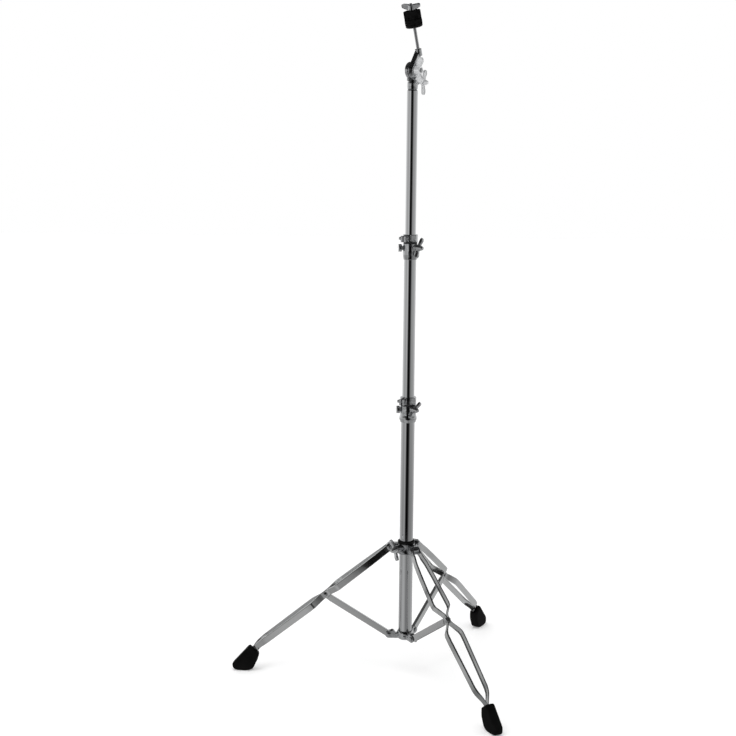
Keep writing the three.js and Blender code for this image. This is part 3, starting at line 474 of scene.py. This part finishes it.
def drum(radius, low, high, sides=96):
    bpy.ops.mesh.primitive_cylinder_add(vertices=sides, radius=radius * mm, depth=(high - low) * mm,
                                        location=(0, 0, (low + high) / 2 * mm))
    return settle(bpy.context.object, Matrix())


def crossDrum(radius, near, far, sides=64):
    return settle(drum(radius, near, far, sides), lying)


def pin(radius, half, x, z, sides=48):
    return settle(drum(radius, -half, half, sides), shift(x=x, z=z) @ sideways)


def slab(x0, x1, y0, y1, z0, z1):
    bpy.ops.mesh.primitive_cube_add(size=mm, location=((x0 + x1) / 2 * mm, (y0 + y1) / 2 * mm, (z0 + z1) / 2 * mm),
                                    scale=(x1 - x0, y1 - y0, z1 - z0))
    return settle(bpy.context.object, Matrix())


# A solid round body: steps in from its outer radius at heights up from its foot, then down from its top
def turnedBody(look):
    low, high, outer = look["low"], look["high"], look["outer"]
    side = [(outer - inward, low + up) for inward, up in look["foot"]]
    side += [(outer - inward, high - down) for inward, down in look["brow"]]
    return lathe([(0, low), *side, (0, high)])


def together(parts):
    bpy.ops.object.select_all(action="DESELECT")
    for part in parts:
        part.select_set(True)
    bpy.context.view_layer.objects.active = parts[0]
    if len(parts) > 1:
        bpy.ops.object.join()
    return bpy.context.view_layer.objects.active


def carve(body, tools):
    tool = together(tools)
    opening = body.modifiers.new("openings", "BOOLEAN")
    opening.operation = "DIFFERENCE"
    opening.solver = "EXACT"
    opening.use_self = True
    opening.object = tool
    applyAll(body)
    bpy.data.objects.remove(tool, do_unlink=True)
    return body


# Parts melted into one casting, with the openings cut and every corner rounded a little
def cast(parts, tools, look):
    body = together(parts)
    if tools:
        carve(body, tools)
    skin = body.modifiers.new("castSkin", "REMESH")
    skin.mode = "VOXEL"
    skin.voxel_size = look["grain"] * mm
    fillets = body.modifiers.new("fillets", "SMOOTH")
    fillets.factor = filletShare
    fillets.iterations = look["rounds"]
    applyAll(body)
    return body


def copyOfNode(node):
    obj = bpy.data.objects.new(pieceName(node), frame["nodes"][node].data.copy())
    bpy.context.scene.collection.objects.link(obj)
    obj.data.materials.clear()
    only(obj)
    bpy.ops.object.mode_set(mode="EDIT")
    bpy.ops.mesh.select_all(action="SELECT")
    bpy.ops.mesh.remove_doubles(threshold=copyWeld * mm)
    bpy.ops.mesh.dissolve_limited(angle_limit=math.radians(copyFlat))
    bpy.ops.object.mode_set(mode="OBJECT")
    return obj


def finishNode(node, edge, angle=32, smooth=40, material=None):
    finishPiece(softenEdges(copyOfNode(node), edge, angle), node, smooth, material)


# tubes

tubeForm = {"wall": 1.2, "sides": 128, "edge": 0.3, "angle": 50}
tubeLooks = {
    "base_tube": {"radius": 14.3, "low": 81.3, "high": 572},
    "middle_tube": {"radius": 12.7, "low": 398, "high": 915},
    "upper_tube": {"radius": 11.1, "low": 752, "high": 1258, "neckAt": 1240.7, "neck": 8.3},
}


def makeTube(node, look):
    radius, low, high, wall = look["radius"], look["low"], look["high"], tubeForm["wall"]
    bore = radius - wall
    profile = [(bore, low), (radius, low)]
    if "neck" in look:
        neck, at = look["neck"], look["neckAt"]
        profile += [(radius, at - 2 * wall), (bore, at), (neck, at), (neck, high), (neck - wall, high),
                    (neck - wall, at - wall), (bore, at - 3 * wall)]
    else:
        profile += [(radius, high), (bore, high)]
    tube = settle(lathe([*profile, (bore, low)], tubeForm["sides"]), upright())
    finishPiece(softenEdges(tube, tubeForm["edge"], tubeForm["angle"]), node, tubeForm["angle"])


for node, look in tubeLooks.items():
    makeTube(node, look)
print("tubes turned")

# legs: strips and braces keep their pressed form, rivets are turned and feet are rounded off

legAzimuths = {"left": 180, "front": 300, "back": 60}
pressedLook = {"stripEdge": 0.4, "braceEdge": 0.6, "angle": 30, "smooth": 38}
rivetLook = {"radius": 2.8, "head": 5.4, "rise": 2.6, "gap": 0.3, "brim": 0.97, "edge": 0.12, "domeFrom": 0.25,
             "dome": range(0, 81, 10), "sides": 48, "smooth": 35}
rivetSeats = {"collar": (10.4, "collar_fold"), "knee": (3.55, "left_leg_fold"), "bracket": (5.9, "left_brace_fold")}
footLook = {"grain": 0.8, "rounds": 60, "heelTo": 332, "heelUnder": 26, "heelWidth": 0.92, "swell": 1.03}


# A shank with a low dome at each end, the heads resting a hair clear of the metal
def makeRivet(seat, look):
    radius, head, rise, low = look["radius"], look["head"], look["rise"], look["domeFrom"]
    face = seat + look["gap"]
    bends = [math.radians(t) for t in look["dome"]]
    dome = [(head * math.cos(t), face + rise * (low + (1 - low) * math.sin(t))) for t in bends]
    half = [(radius, 0), (radius, face), (head * look["brim"], face), (head, face + look["edge"] * rise), *dome,
            (0, face + rise)]
    other = [(r, -z) for r, z in reversed(half)]
    return lathe(other[:-1] + half, look["sides"])


for kind, (seat, joint) in rivetSeats.items():
    pivot = pivotOf[joint]
    rivet = makeRivet(seat, rivetLook)
    seatPlace = shift(x=(axisX - pivot.x) / mm, z=pivot.z / mm) @ sideways
    for leg, azimuth in legAzimuths.items():
        placed = copyPiece(rivet, upright(azimuth) @ seatPlace)
        finishPiece(placed, f"{leg}_{kind}_rivet", rivetLook["smooth"], screwPlate)
    bpy.data.objects.remove(rivet, do_unlink=True)


# The rubber boot: its heel is drawn in near the floor, then every corner is rounded well off
def makeFoot(look):
    foot = settle(copyOfNode("left_foot"), upright(180).inverted())
    foot.name = "footForm"
    for vertex in foot.data.vertices:
        vertex.select = vertex.co.x < look["heelTo"] * mm and vertex.co.z < look["heelUnder"] * mm
    bpy.ops.object.mode_set(mode="EDIT")
    bpy.ops.mesh.select_mode(type="VERT")
    bpy.ops.transform.resize(value=(1, look["heelWidth"], 1), center_override=(0, 0, 0))
    bpy.ops.object.mode_set(mode="OBJECT")
    cast([foot], [], look)
    corners = [Vector(corner) for corner in foot.bound_box]
    middle = Matrix.Translation(sum(corners, Vector()) / len(corners))
    settle(foot, middle @ Matrix.Scale(look["swell"], 4) @ middle.inverted())
    lowest = min(vertex.co.z for vertex in foot.data.vertices)
    return settle(foot, Matrix.Translation((0, 0, -lowest)))


foot = makeFoot(footLook)
for leg, azimuth in legAzimuths.items():
    finishPiece(copyPiece(foot, upright(azimuth)), f"{leg}_foot", castAngle)
    for side in "ab":
        finishNode(f"{leg}_leg_strip_{side}", pressedLook["stripEdge"], pressedLook["angle"], pressedLook["smooth"])
    finishNode(f"{leg}_brace", pressedLook["braceEdge"], pressedLook["angle"], pressedLook["smooth"])
bpy.data.objects.remove(foot, do_unlink=True)
print("legs, braces, rivets and feet made")

# lower bracket and leg collar

pivotReach = 35  # how far the rivets in the lugs stand from the stand's axis
bracketLook = {"low": 78, "high": 97, "outer": 18.4, "foot": [(5, 0), (1, 4), (0, 8)], "brow": [(0.8, 4), (2.6, 0)],
               "floor": 3, "bore": 14.6, "lug": 7.8, "half": 5.9, "pivot": 87.5, "hole": 3.1, "hump": 6.4,
               "humpAt": 27.5, "slot": 3.8, "slotFrom": 27, "slotPast": 12}
collarLook = {"low": 269, "high": 292, "outer": 18.6, "foot": [(0.6, 0), (0, 2), (0.4, 5), (1.8, 8)],
              "brow": [(1.8, 8), (0.2, 4), (0, 0)], "bore": 16.2, "lug": 8.6, "pivot": 283, "boss": 8,
              "bossRoot": 1, "bossFar": 34, "bossAzimuth": 230, "bossHeight": 283.5,
              "widths": {"left": 16, "front": 13, "back": 13}, "holes": {"left": 3.1, "front": 5.8, "back": 5.8}}
ringLook = {"bore": 16.2, "outer": 18, "low": 292.3, "high": 297.3, "edge": 0.7}
threadHole, shoeHole, shoeLength = 3.7, 4.7, 1.6  # for a wing bolt and the shoe it presses on the tube
gap = 0.3  # between pieces that fit together
castLook = {"grain": 0.5, "rounds": 10}


# A waisted body round the tube's end, with a forked lug and a hump for each leg
def makeBracket(look):
    low, high, bore, pivot, lug = look["low"], look["high"], look["bore"], look["pivot"], look["lug"]
    half, slot, humpTop, slotTo = look["half"], look["slot"], high - look["hump"], pivotReach + look["slotPast"]
    parts = [turnedBody(look)]
    tools = [drum(bore, low + look["floor"], high + past)]
    for azimuth in legAzimuths.values():
        turn = turnAbout("Z", azimuth)
        parts += [settle(pin(lug, half, pivotReach, pivot), turn),
                  settle(pin(look["hump"], half, look["humpAt"], humpTop), turn),
                  settle(slab(bore, pivotReach, -half, half, pivot - lug, humpTop), turn)]
        tools += [settle(slab(look["slotFrom"], slotTo, -slot, slot, low - past, high + past), turn),
                  settle(pin(look["hole"], 2 * half, pivotReach, pivot), turn)]
    return settle(cast(parts, tools, castLook), upright())


# A waisted sleeve that slides on the tube, with a lug for each leg and a boss for its wing bolt
def makeCollar(look):
    bore, pivot, lug, bossFar = look["bore"], look["pivot"], look["lug"], look["bossFar"]
    parts = [turnedBody(look)]
    tools = [drum(bore, look["low"] - past, look["high"] + past)]
    for leg, azimuth in legAzimuths.items():
        turn = turnAbout("Z", azimuth)
        half = look["widths"][leg] / 2
        parts += [settle(pin(lug, half, pivotReach, pivot), turn),
                  settle(slab(bore, pivotReach, -half, half, pivot - lug, pivot + lug), turn)]
        tools.append(settle(pin(look["holes"][leg], 2 * half, pivotReach, pivot), turn))
    bossPlace = shift(z=look["bossHeight"]) @ turnAbout("Z", look["bossAzimuth"])
    parts.append(settle(crossDrum(look["boss"], bore - look["bossRoot"], bossFar), bossPlace))
    tools += [settle(crossDrum(threadHole, 0, bossFar + past), bossPlace),
              settle(crossDrum(shoeHole, 0, bore + shoeLength + gap), bossPlace)]
    return settle(cast(parts, tools, castLook), upright())


def makeRing(look):
    bore, outer, low, high = look["bore"], look["outer"], look["low"], look["high"]
    ring = lathe([(bore, low), (outer, low), (outer, high), (bore, high), (bore, low)])
    return softenEdges(ring, look["edge"], angle=40, segments=3)


finishPiece(makeBracket(bracketLook), "lower_bracket", castAngle, castPlate)
# the collar takes the darker plate with its painted shade
finishPiece(makeCollar(collarLook), "leg_collar", castAngle, shadedCastPlate)
finishPiece(settle(makeRing(ringLook), upright()), "collar_ring")
print("bracket and collar cast")

# height clamps, their bushes, and the memory locks above them

clampLooks = {
    "lower": {"outerTube": 14.3, "innerTube": 12.7, "tubeTop": 572, "low": 555, "high": 591, "skirt": 15.9,
              "belly": 18.4, "bellyAt": 565.1, "neck": 16.6, "boltAzimuth": 308, "boltHeight": 584,
              "lugAzimuth": 190, "lugHeight": 582, "lockAzimuth": 236, "lockTurn": 66},
    "upper": {"outerTube": 12.7, "innerTube": 11.1, "tubeTop": 915, "low": 897, "high": 931, "skirt": 13.9,
              "belly": 15.3, "bellyAt": 910.9, "neck": 15.3, "boltAzimuth": 320, "boltHeight": 922,
              "lugAzimuth": 190, "lugHeight": 921, "lockAzimuth": 232, "lockTurn": 58},
}
clampForm = {"footShare": 0.3, "shoulderShare": 0.25, "lip": 1}  # shares of the way from the belly to each end
clampBoss = {"radius": 7, "far": 18.5}
rearLug = {"far": 25, "width": 7, "radius": 8, "webShort": 2}
bushLook = {"wall": 1.5, "flange": 2, "edge": 0.5}
lockLook = {"height": 15, "wall": 4, "slot": 2.6, "ear": 5.2, "earFar": 24.5, "earDown": 2, "keyLow": 3,
            "keyFar": 19.4, "screwAt": 20.2, "rise": 2.6, "hole": 2.9, "grain": 0.45, "rounds": 12}
screwLook = {"shank": 2.6, "collar": 4, "square": 2.7, "length": 4.4, "edge": 0.5, "grain": 0.22, "rounds": 3}


# A bellied casting round the tube's mouth, with a boss for its wing bolt and a round lug behind
def makeClamp(look):
    low, high, belly, neck, lip = look["low"], look["high"], look["belly"], look["neck"], clampForm["lip"]
    bellyAt, tubeTop = look["bellyAt"], look["tubeTop"]
    foot = bellyAt - (bellyAt - low) * clampForm["footShare"]
    shoulder = bellyAt + (high - bellyAt) * clampForm["shoulderShare"]
    shell = lathe([(0, low), (look["skirt"], low), (belly, foot), (belly, bellyAt), (neck, shoulder),
                   (neck, high - lip), (neck - lip, high), (0, high)])
    bolt = shift(z=look["boltHeight"]) @ turnAbout("Z", look["boltAzimuth"])
    back = shift(z=look["lugHeight"]) @ turnAbout("Z", look["lugAzimuth"])
    inner, reach, half, lug = look["innerTube"], rearLug["far"], rearLug["width"] / 2, rearLug["radius"]
    bush = inner + gap + bushLook["wall"]
    boss = settle(crossDrum(clampBoss["radius"], inner, clampBoss["far"]), bolt)
    disc = settle(crossDrum(lug, reach - rearLug["width"], reach), back)
    web = settle(slab(inner, reach - rearLug["webShort"], -half, half, -lug / 2, lug / 2), back)
    tools = [drum(look["outerTube"] + gap, low - past, tubeTop + gap), drum(bush + gap, tubeTop, high + past),
             settle(crossDrum(shoeHole, 0, bush + 2 * gap + shoeLength), bolt),
             settle(crossDrum(threadHole, 0, clampBoss["far"] + past), bolt)]
    return settle(cast([shell, boss, disc, web], tools, castLook), upright())


# A nylon sleeve between two tubes, its flange resting on the clamp
def makeBush(clamp, look):
    inner = clamp["innerTube"] + gap
    outer = inner + look["wall"]
    foot, top, flange = clamp["tubeTop"] + 2 * gap, clamp["high"] + gap, look["flange"]
    rim = outer + look["wall"]
    bush = lathe([(inner, foot), (outer, foot), (outer, top), (rim, top), (rim, top + flange), (inner, top + flange),
                  (inner, foot)])
    return settle(softenEdges(bush, look["edge"], angle=40, segments=3), upright())


# A split ring with two ears and a key on its side
def makeLock(clamp, look):
    inner, height, far = clamp["innerTube"], look["height"], look["earFar"]
    slot = look["slot"] / 2
    ear = slot + look["ear"]
    ring = drum(inner + gap + look["wall"], 0, height)
    ears = slab(inner, far, -ear, ear, 0, height - look["earDown"])
    key = settle(slab(inner, look["keyFar"], -look["ear"], look["ear"], look["keyLow"], height),
                 turnAbout("Z", clamp["lockTurn"]))
    tools = [drum(inner + gap, -past, height + past),
             slab(inner - past, far + past, -slot, slot, -past, height + past),
             pin(look["hole"], far, look["screwAt"], height / 2)]
    lock = cast([ring, ears, key], tools, look)
    return settle(lock, upright(clamp["lockAzimuth"], clamp["high"] + look["rise"]))


# The screw across the ring's ears, with a square head for a drum key
def makeLockScrew(clamp, look):
    ear = lockLook["slot"] / 2 + lockLook["ear"]
    seat = ear + gap + look["shank"] / 2
    square = look["square"]
    shank = pin(look["shank"], ear + 2 * gap, 0, 0)
    collar = settle(pin(look["collar"], look["shank"] / 2, 0, 0), shift(y=-seat))
    head = softenEdges(slab(-square, square, -seat - look["length"], -seat, -square, square), look["edge"], angle=40)
    screw = cast([shank, collar, head], [], look)
    place = upright(clamp["lockAzimuth"], clamp["high"] + lockLook["rise"])
    return settle(screw, place @ shift(x=lockLook["screwAt"], z=lockLook["height"] / 2))


for name, clamp in clampLooks.items():
    finishPiece(makeClamp(clamp), f"{name}_clamp", castAngle, castPlate)
    finishPiece(makeBush(clamp, bushLook), f"{name}_clamp_bush")
    finishPiece(makeLock(clamp, lockLook), f"{name}_memory_lock", castAngle, castPlate)
    finishPiece(makeLockScrew(clamp, screwLook), f"{name}_lock_screw", screwAngle, screwPlate)
print("clamps, bushes and memory locks made")

# wing bolts and wing nuts: a turned hub with two dished ears

# the hub runs straight for a share of its length, then tapers to shares of its radius
boltHub = {"radius": 6.6, "length": 10, "nose": 5, "shank": 3.4, "straight": 0.35, "taper": 0.8, "noseEnd": 0.45,
           "through": 40, "sides": 64}
# an ear's edge: share of the half span, share of the height
wingOutline = [(0.2, 0.02), (0.42, 0.1), (0.66, 0.16), (0.86, 0.24), (0.96, 0.4), (1, 0.6), (0.97, 0.8), (0.87, 0.95),
               (0.74, 1), (0.6, 0.95), (0.44, 0.8), (0.28, 0.7)]
broadOutline = [(0.24, 0.02), (0.5, 0.16), (0.76, 0.3), (0.93, 0.42), (1, 0.56), (1, 0.8), (0.95, 0.95), (0.84, 1),
                (0.6, 0.98), (0.4, 0.94), (0.26, 0.92)]
earLook = {"thick": 6.2, "rim": 1.8, "dish": 1.2, "root": 0.1, "steps": 4}
wingCast = {"grain": 0.35, "rounds": 14}
shoeEdge = 0.2
wingLooks = {
    "collar_wing_bolt": {"seat": 34.3, "tip": 18.4, "span": 47, "height": 9, "turn": 25,
                         "azimuth": collarLook["bossAzimuth"], "at": collarLook["bossHeight"]},
    "lower_clamp_bolt": {"seat": 18.8, "tip": 17.0, "span": 40, "height": 9, "turn": -43,
                         "azimuth": clampLooks["lower"]["boltAzimuth"], "at": clampLooks["lower"]["boltHeight"]},
    "upper_clamp_bolt": {"seat": 18.8, "tip": 15.4, "span": 44, "height": 9, "turn": -25,
                         "azimuth": clampLooks["upper"]["boltAzimuth"], "at": clampLooks["upper"]["boltHeight"]},
    "socket_wing_bolt": {"seat": 24.5, "tip": 8.9, "span": 50, "height": 9, "turn": 7, "azimuth": 38, "at": 1256},
    "tilter_wing_nut": {"seat": 9.0, "span": 52, "height": 17, "hub": 9.6, "length": 12, "bore": 4.0},
    "top_wing_nut": {"seat": 115.4, "span": 44, "height": 14, "hub": 6.6, "length": 11, "bore": 3.3,
                     "outline": broadOutline},
}
# the wings with painted highlight take the lighter plates
wingFinishes = {"collar_wing_bolt": boltHighlightPlate, "socket_wing_bolt": paleHighlightPlate, "tilter_wing_nut": paleHighlightPlate}
tiltLook = {"azimuth": 322, "height": 1279, "lean": 17, "rodX": 5.2, "rodY": 22}
tiltPlace = upright(tiltLook["azimuth"], tiltLook["height"])
armPlace = tiltPlace @ turnAbout("X", tiltLook["lean"])
rodPlace = armPlace @ shift(x=tiltLook["rodX"], y=tiltLook["rodY"])


# More points along an outline, on a smooth curve through the ones given
def smoothOutline(points, steps):
    smooth = []
    for k in range(len(points) - 1):
        before, near, far, after = (Vector(points[min(max(k + j, 0), len(points) - 1)]) for j in (-1, 0, 1, 2))
        for t in (step / steps for step in range(steps)):
            bend = (2 * before - 5 * near + 4 * far - after) * t * t + (3 * near - before - 3 * far + after) * t ** 3
            smooth.append(tuple(near + ((far - before) * t + bend) / 2))
    return [*smooth, points[-1]]


# One ear pressed from a flat outline, standing out along +z, its faces dished inside a rim
def makeEar(look):
    half, height, thick = look["span"] / 2, look["height"], earLook["thick"] / 2
    outline = look.get("outline", wingOutline)
    points = smoothOutline([(up * height, out * half) for out, up in outline], earLook["steps"])
    top = (outline[-1][1] - earLook["root"]) * height
    ear = plate([(earLook["root"] * height, 0), *points, (top, 0)], -thick, thick)
    pickFaces(ear, bothWays=True)
    bpy.ops.mesh.inset(thickness=earLook["rim"] * mm, depth=-earLook["dish"] * mm, use_individual=True)
    bpy.ops.object.mode_set(mode="OBJECT")
    return settle(ear, sideways)


# Hub and ears along x, with a shank and a nose on a bolt, or a bore through a nut
def makeWing(look):
    seat, hub = look["seat"], look.get("hub", boltHub["radius"])
    length = look.get("length", boltHub["length"])
    tapered = [(hub, seat), (hub, seat + boltHub["straight"] * length), (boltHub["taper"] * hub, seat + length)]
    if "tip" in look:
        shank, tip, nose = boltHub["shank"], look["tip"], seat + length + boltHub["nose"]
        profile = [(0, tip), (shank, tip), (shank, seat), *tapered, (boltHub["noseEnd"] * hub, nose), (0, nose)]
    else:
        profile = [(0, seat), *tapered, (0, seat + length)]
    body = settle(lathe(profile, boltHub["sides"]), lying)
    first = settle(makeEar(look), shift(x=seat))
    second = copyPiece(first, turnAbout("X", 180))
    tools = [crossDrum(look["bore"], seat - past, seat + boltHub["through"])] if "bore" in look else []
    return cast([body, first, second], tools, wingCast)


for node, look in wingLooks.items():
    wing = makeWing(look)
    if "azimuth" in look:
        settle(wing, upright(look["azimuth"], look["at"]) @ turnAbout("X", look["turn"]))
    elif node == "tilter_wing_nut":
        settle(wing, tiltPlace)
    else:
        settle(wing, rodPlace @ turnAbout("Y", -90))
    finishPiece(wing, node, castAngle, wingFinishes.get(node, castPlate))
for node in ("collar_wing_shoe", "lower_clamp_shoe", "upper_clamp_shoe"):
    finishNode(node, shoeEdge, material=screwPlate)
print("wing bolts and wing nuts made")

# tilter

discLook = {"radius": 17.4, "baseBack": -7, "baseFace": -0.4, "armFace": 1.7, "armFront": 8.7, "bolt": 3.7, "rim": 2,
            "slope": 5.6, "arc": range(140, 331, 5), "sides": 96}
toothLook = {"count": 20, "height": 0.9, "inner": 8.5, "outer": 16}
socketLook = {"outer": 11, "low": -38, "high": -18, "foot": [(1.4, 0), (0.6, 2), (0, 7), (0.2, 12)],
              "brow": [(1.6, 0)], "bore": 8.6, "roof": -20.7, "neckShare": 0.72, "neckBack": 2, "neckFront": 0.9,
              "boss": 5.4, "bossFar": 14, "bossAt": -23, "bossAzimuth": 38, "threadFrom": 8.3,
              "grain": 0.4, "rounds": 8}
rodBoss = {"radius": 6.8, "low": 24, "high": 38, "over": 2, "bore": 3.3, "boreFrom": 21.7, "boreTo": 60,
           "grain": 0.4, "rounds": 12}
tiltBolt = {"head": 8, "rise": 3.4, "end": 23.5, "dome": [(0.55, 1), (0.8, 0.85), (1, 0.4)], "chamfer": 0.8}


# A crown of radial teeth, its foot at z = 0
def makeTeeth(look):
    bpy.ops.object.select_all(action="DESELECT")
    bpy.ops.mesh.primitive_circle_add(vertices=2 * look["count"], radius=look["outer"] * mm)
    teeth = bpy.context.object
    inward = look["inner"] / look["outer"]
    bpy.ops.object.mode_set(mode="EDIT")
    bpy.ops.mesh.select_all(action="SELECT")
    bpy.ops.mesh.extrude_region_move()
    bpy.ops.transform.resize(value=(inward, inward, 1))
    bpy.ops.mesh.select_all(action="SELECT")
    bpy.ops.mesh.extrude_region_move(TRANSFORM_OT_translate={"value": (0, 0, look["height"] * mm)})
    bpy.ops.mesh.select_all(action="DESELECT")
    bpy.ops.object.mode_set(mode="OBJECT")
    pitch = math.pi / look["count"]
    for vertex in teeth.data.vertices:
        step = round(math.atan2(vertex.co.y, vertex.co.x) / pitch)
        vertex.select = vertex.co.z > 0.5 * look["height"] * mm and step % 2 == 0
    bpy.ops.object.mode_set(mode="EDIT")
    bpy.ops.transform.translate(value=(0, 0, look["height"] * mm))
    bpy.ops.mesh.select_all(action="SELECT")
    bpy.ops.mesh.normals_make_consistent(inside=False)
    bpy.ops.object.mode_set(mode="OBJECT")
    return teeth


# A cup for the upper tube, and the still half of the toothed disc above it
def makeTilterBase(disc, socket):
    back, face, roof = disc["baseBack"], disc["baseFace"], socket["roof"]
    cup = turnedBody(socket)
    toothed = crossDrum(disc["radius"], back, face, disc["sides"])
    half = socket["neckShare"] * disc["radius"]
    neck = slab(back + socket["neckBack"], face - socket["neckFront"], -half, half, roof, 0)
    bossPlace = shift(z=socket["bossAt"]) @ turnAbout("Z", socket["bossAzimuth"] - tiltLook["azimuth"])
    boss = settle(crossDrum(socket["boss"], 0, socket["bossFar"]), bossPlace)
    teeth = settle(makeTeeth(toothLook), shift(x=face - toothLook["height"]) @ lying)
    tools = [drum(socket["bore"], socket["low"] - past, roof),
             crossDrum(disc["bolt"] + gap, back - past, disc["armFront"]),
             settle(crossDrum(threadHole, socket["threadFrom"], socket["bossFar"] + past), bossPlace)]
    return cast([cup, toothed, neck, boss, teeth], tools, socket)


# The half of the disc that tilts, its face sloped, with an eye that holds the rod
def makeTilterArm(disc, boss):
    face, front, radius = disc["armFace"], disc["armFront"], disc["radius"]
    run, side, top = tiltLook["rodY"], boss["radius"], boss["high"] - boss["over"]
    bends = [math.radians(t) for t in disc["arc"]]
    arc = [(radius * math.cos(t), radius * math.sin(t)) for t in bends]
    outline = [*arc, (run + side, boss["low"]), (run + side, top), (run - side, top)]
    stand = Matrix(((0, 0, 1, 0), (1, 0, 0, 0), (0, 1, 0, 0), (0, 0, 0, 1)))  # from the drawing's x, y to y, z
    ridge = plate(outline, face, face + disc["rim"])
    pickFaces(ridge, bothWays=False)
    bpy.ops.mesh.inset(thickness=disc["slope"] * mm, depth=(front - face - disc["rim"]) * mm)
    bpy.ops.object.mode_set(mode="OBJECT")
    body = settle(ridge, stand)
    rodAt = shift(x=tiltLook["rodX"], y=run)
    eye = settle(drum(side, boss["low"], boss["high"], sides=64), rodAt)
    teeth = settle(makeTeeth(toothLook), shift(x=face + toothLook["height"]) @ turnAbout("Y", -90))
    tools = [crossDrum(disc["bolt"] + gap, face - past, front + past),
             settle(drum(boss["bore"], boss["boreFrom"], boss["boreTo"], sides=48), rodAt)]
    return cast([body, eye, teeth], tools, boss)


def makeTiltBolt(disc, look):
    back, shank = disc["baseBack"] - gap, disc["bolt"]
    head, rise, end, chamfer = look["head"], look["rise"], look["end"], look["chamfer"]
    dome = [(out * head, back - up * rise) for out, up in look["dome"]]
    profile = [(0, back - rise), *dome, (head, back), (shank, back), (shank, end - chamfer), (shank - chamfer, end),
               (0, end)]
    return settle(lathe(profile, sides=64), lying)


finishPiece(settle(makeTilterBase(discLook, socketLook), tiltPlace), "tilter_base", castAngle, castPlate)
finishPiece(settle(makeTilterArm(discLook, rodBoss), armPlace), "tilter_arm", castAngle, castPlate)
finishPiece(settle(makeTiltBolt(discLook, tiltBolt), tiltPlace), "tilter_bolt", material=screwPlate)
print("tilter made")

# rod, seat, sleeve and felts, along the rod from the tilt axis

rodLook = {"radius": 3.2, "low": 22, "tip": 129.5, "threadFrom": 104, "pitch": 1.25, "cut": 0.42, "plain": 1,
           "chamfer": 0.4}
seatLook = {"bore": 3.3, "radius": 17.2, "low": 82.5, "high": 87.5, "chamfer": 1.4, "edge": 0.5}
sleeveLook = {"bore": 3.3, "outer": 4.6, "low": 87.8, "high": 114.8, "edge": 0.3}
feltLooks = {
    "lower_felt": {"bore": 5.2, "radius": 17.6, "low": 87.8, "high": 99.3, "round": 1.1},
    "upper_felt": {"bore": 5.2, "radius": 17.4, "low": 99.6, "high": 115.1, "round": 1.3},
}
fuzzLook = {"size": 1.1, "depth": 0.35, "layers": 2, "middle": 0.75, "step": 0.7, "bends": (0, 30, 60, 90),
            "sides": 168}


# A plain rod with a thread cut from its free end
def makeRod(look):
    radius, low, tip, pitch, cut = look["radius"], look["low"], look["tip"], look["pitch"], look["cut"]
    height = look["threadFrom"]
    profile = [(0, low), (radius, low), (radius, height)]
    while height + pitch < tip - look["plain"]:
        profile += [(radius - cut, height + pitch / 2), (radius, height + pitch)]
        height += pitch
    profile += [(radius - cut, tip - look["chamfer"]), (radius - 2 * cut, tip), (0, tip)]
    return lathe(profile, sides=48)


def makeSeat(look):
    bore, radius, low, high, chamfer = look["bore"], look["radius"], look["low"], look["high"], look["chamfer"]
    seat = lathe([(bore, low), (radius - chamfer, low), (radius, low + chamfer), (radius, high), (bore, high),
                  (bore, low)])
    return softenEdges(seat, look["edge"], angle=30, segments=3)


# Felt washer with rounded rims and a nap raised on it
def makeFelt(look, fuzz):
    bore, radius, low, high, rim = look["bore"], look["radius"], look["low"], look["high"], look["round"]
    bends = [math.radians(t) for t in fuzz["bends"]]
    foot = [(radius - rim + rim * math.sin(t), low + rim - rim * math.cos(t)) for t in bends]
    top = [(radius - rim + rim * math.cos(t), high - rim + rim * math.sin(t)) for t in bends]
    corners = [(bore, low), *foot, *top, (bore, high), (bore, low)]
    profile = [corners[0]]
    for near, far in zip(corners, corners[1:]):
        count = max(1, round(math.dist(near, far) / fuzz["step"]))
        profile += [(near[0] + (far[0] - near[0]) * k / count, near[1] + (far[1] - near[1]) * k / count)
                    for k in range(1, count + 1)]
    felt = lathe(profile, fuzz["sides"])
    nap = felt.modifiers.new("nap", "DISPLACE")
    nap.texture = bpy.data.textures.new("napCloud", "CLOUDS")
    nap.texture.noise_scale = fuzz["size"] * mm
    nap.texture.noise_depth = fuzz["layers"]
    nap.strength = fuzz["depth"] * mm
    nap.mid_level = fuzz["middle"]
    applyAll(felt)
    return felt


finishPiece(settle(makeRod(rodLook), rodPlace), "cymbal_rod", material=rodPlate)
finishPiece(settle(makeSeat(seatLook), rodPlace), "cymbal_seat")
finishPiece(settle(makeRing(sleeveLook), rodPlace), "rod_sleeve")
for node, look in feltLooks.items():
    finishPiece(settle(makeFelt(look, fuzzLook), rodPlace), node, castAngle)
print("rod, seat and felts made")
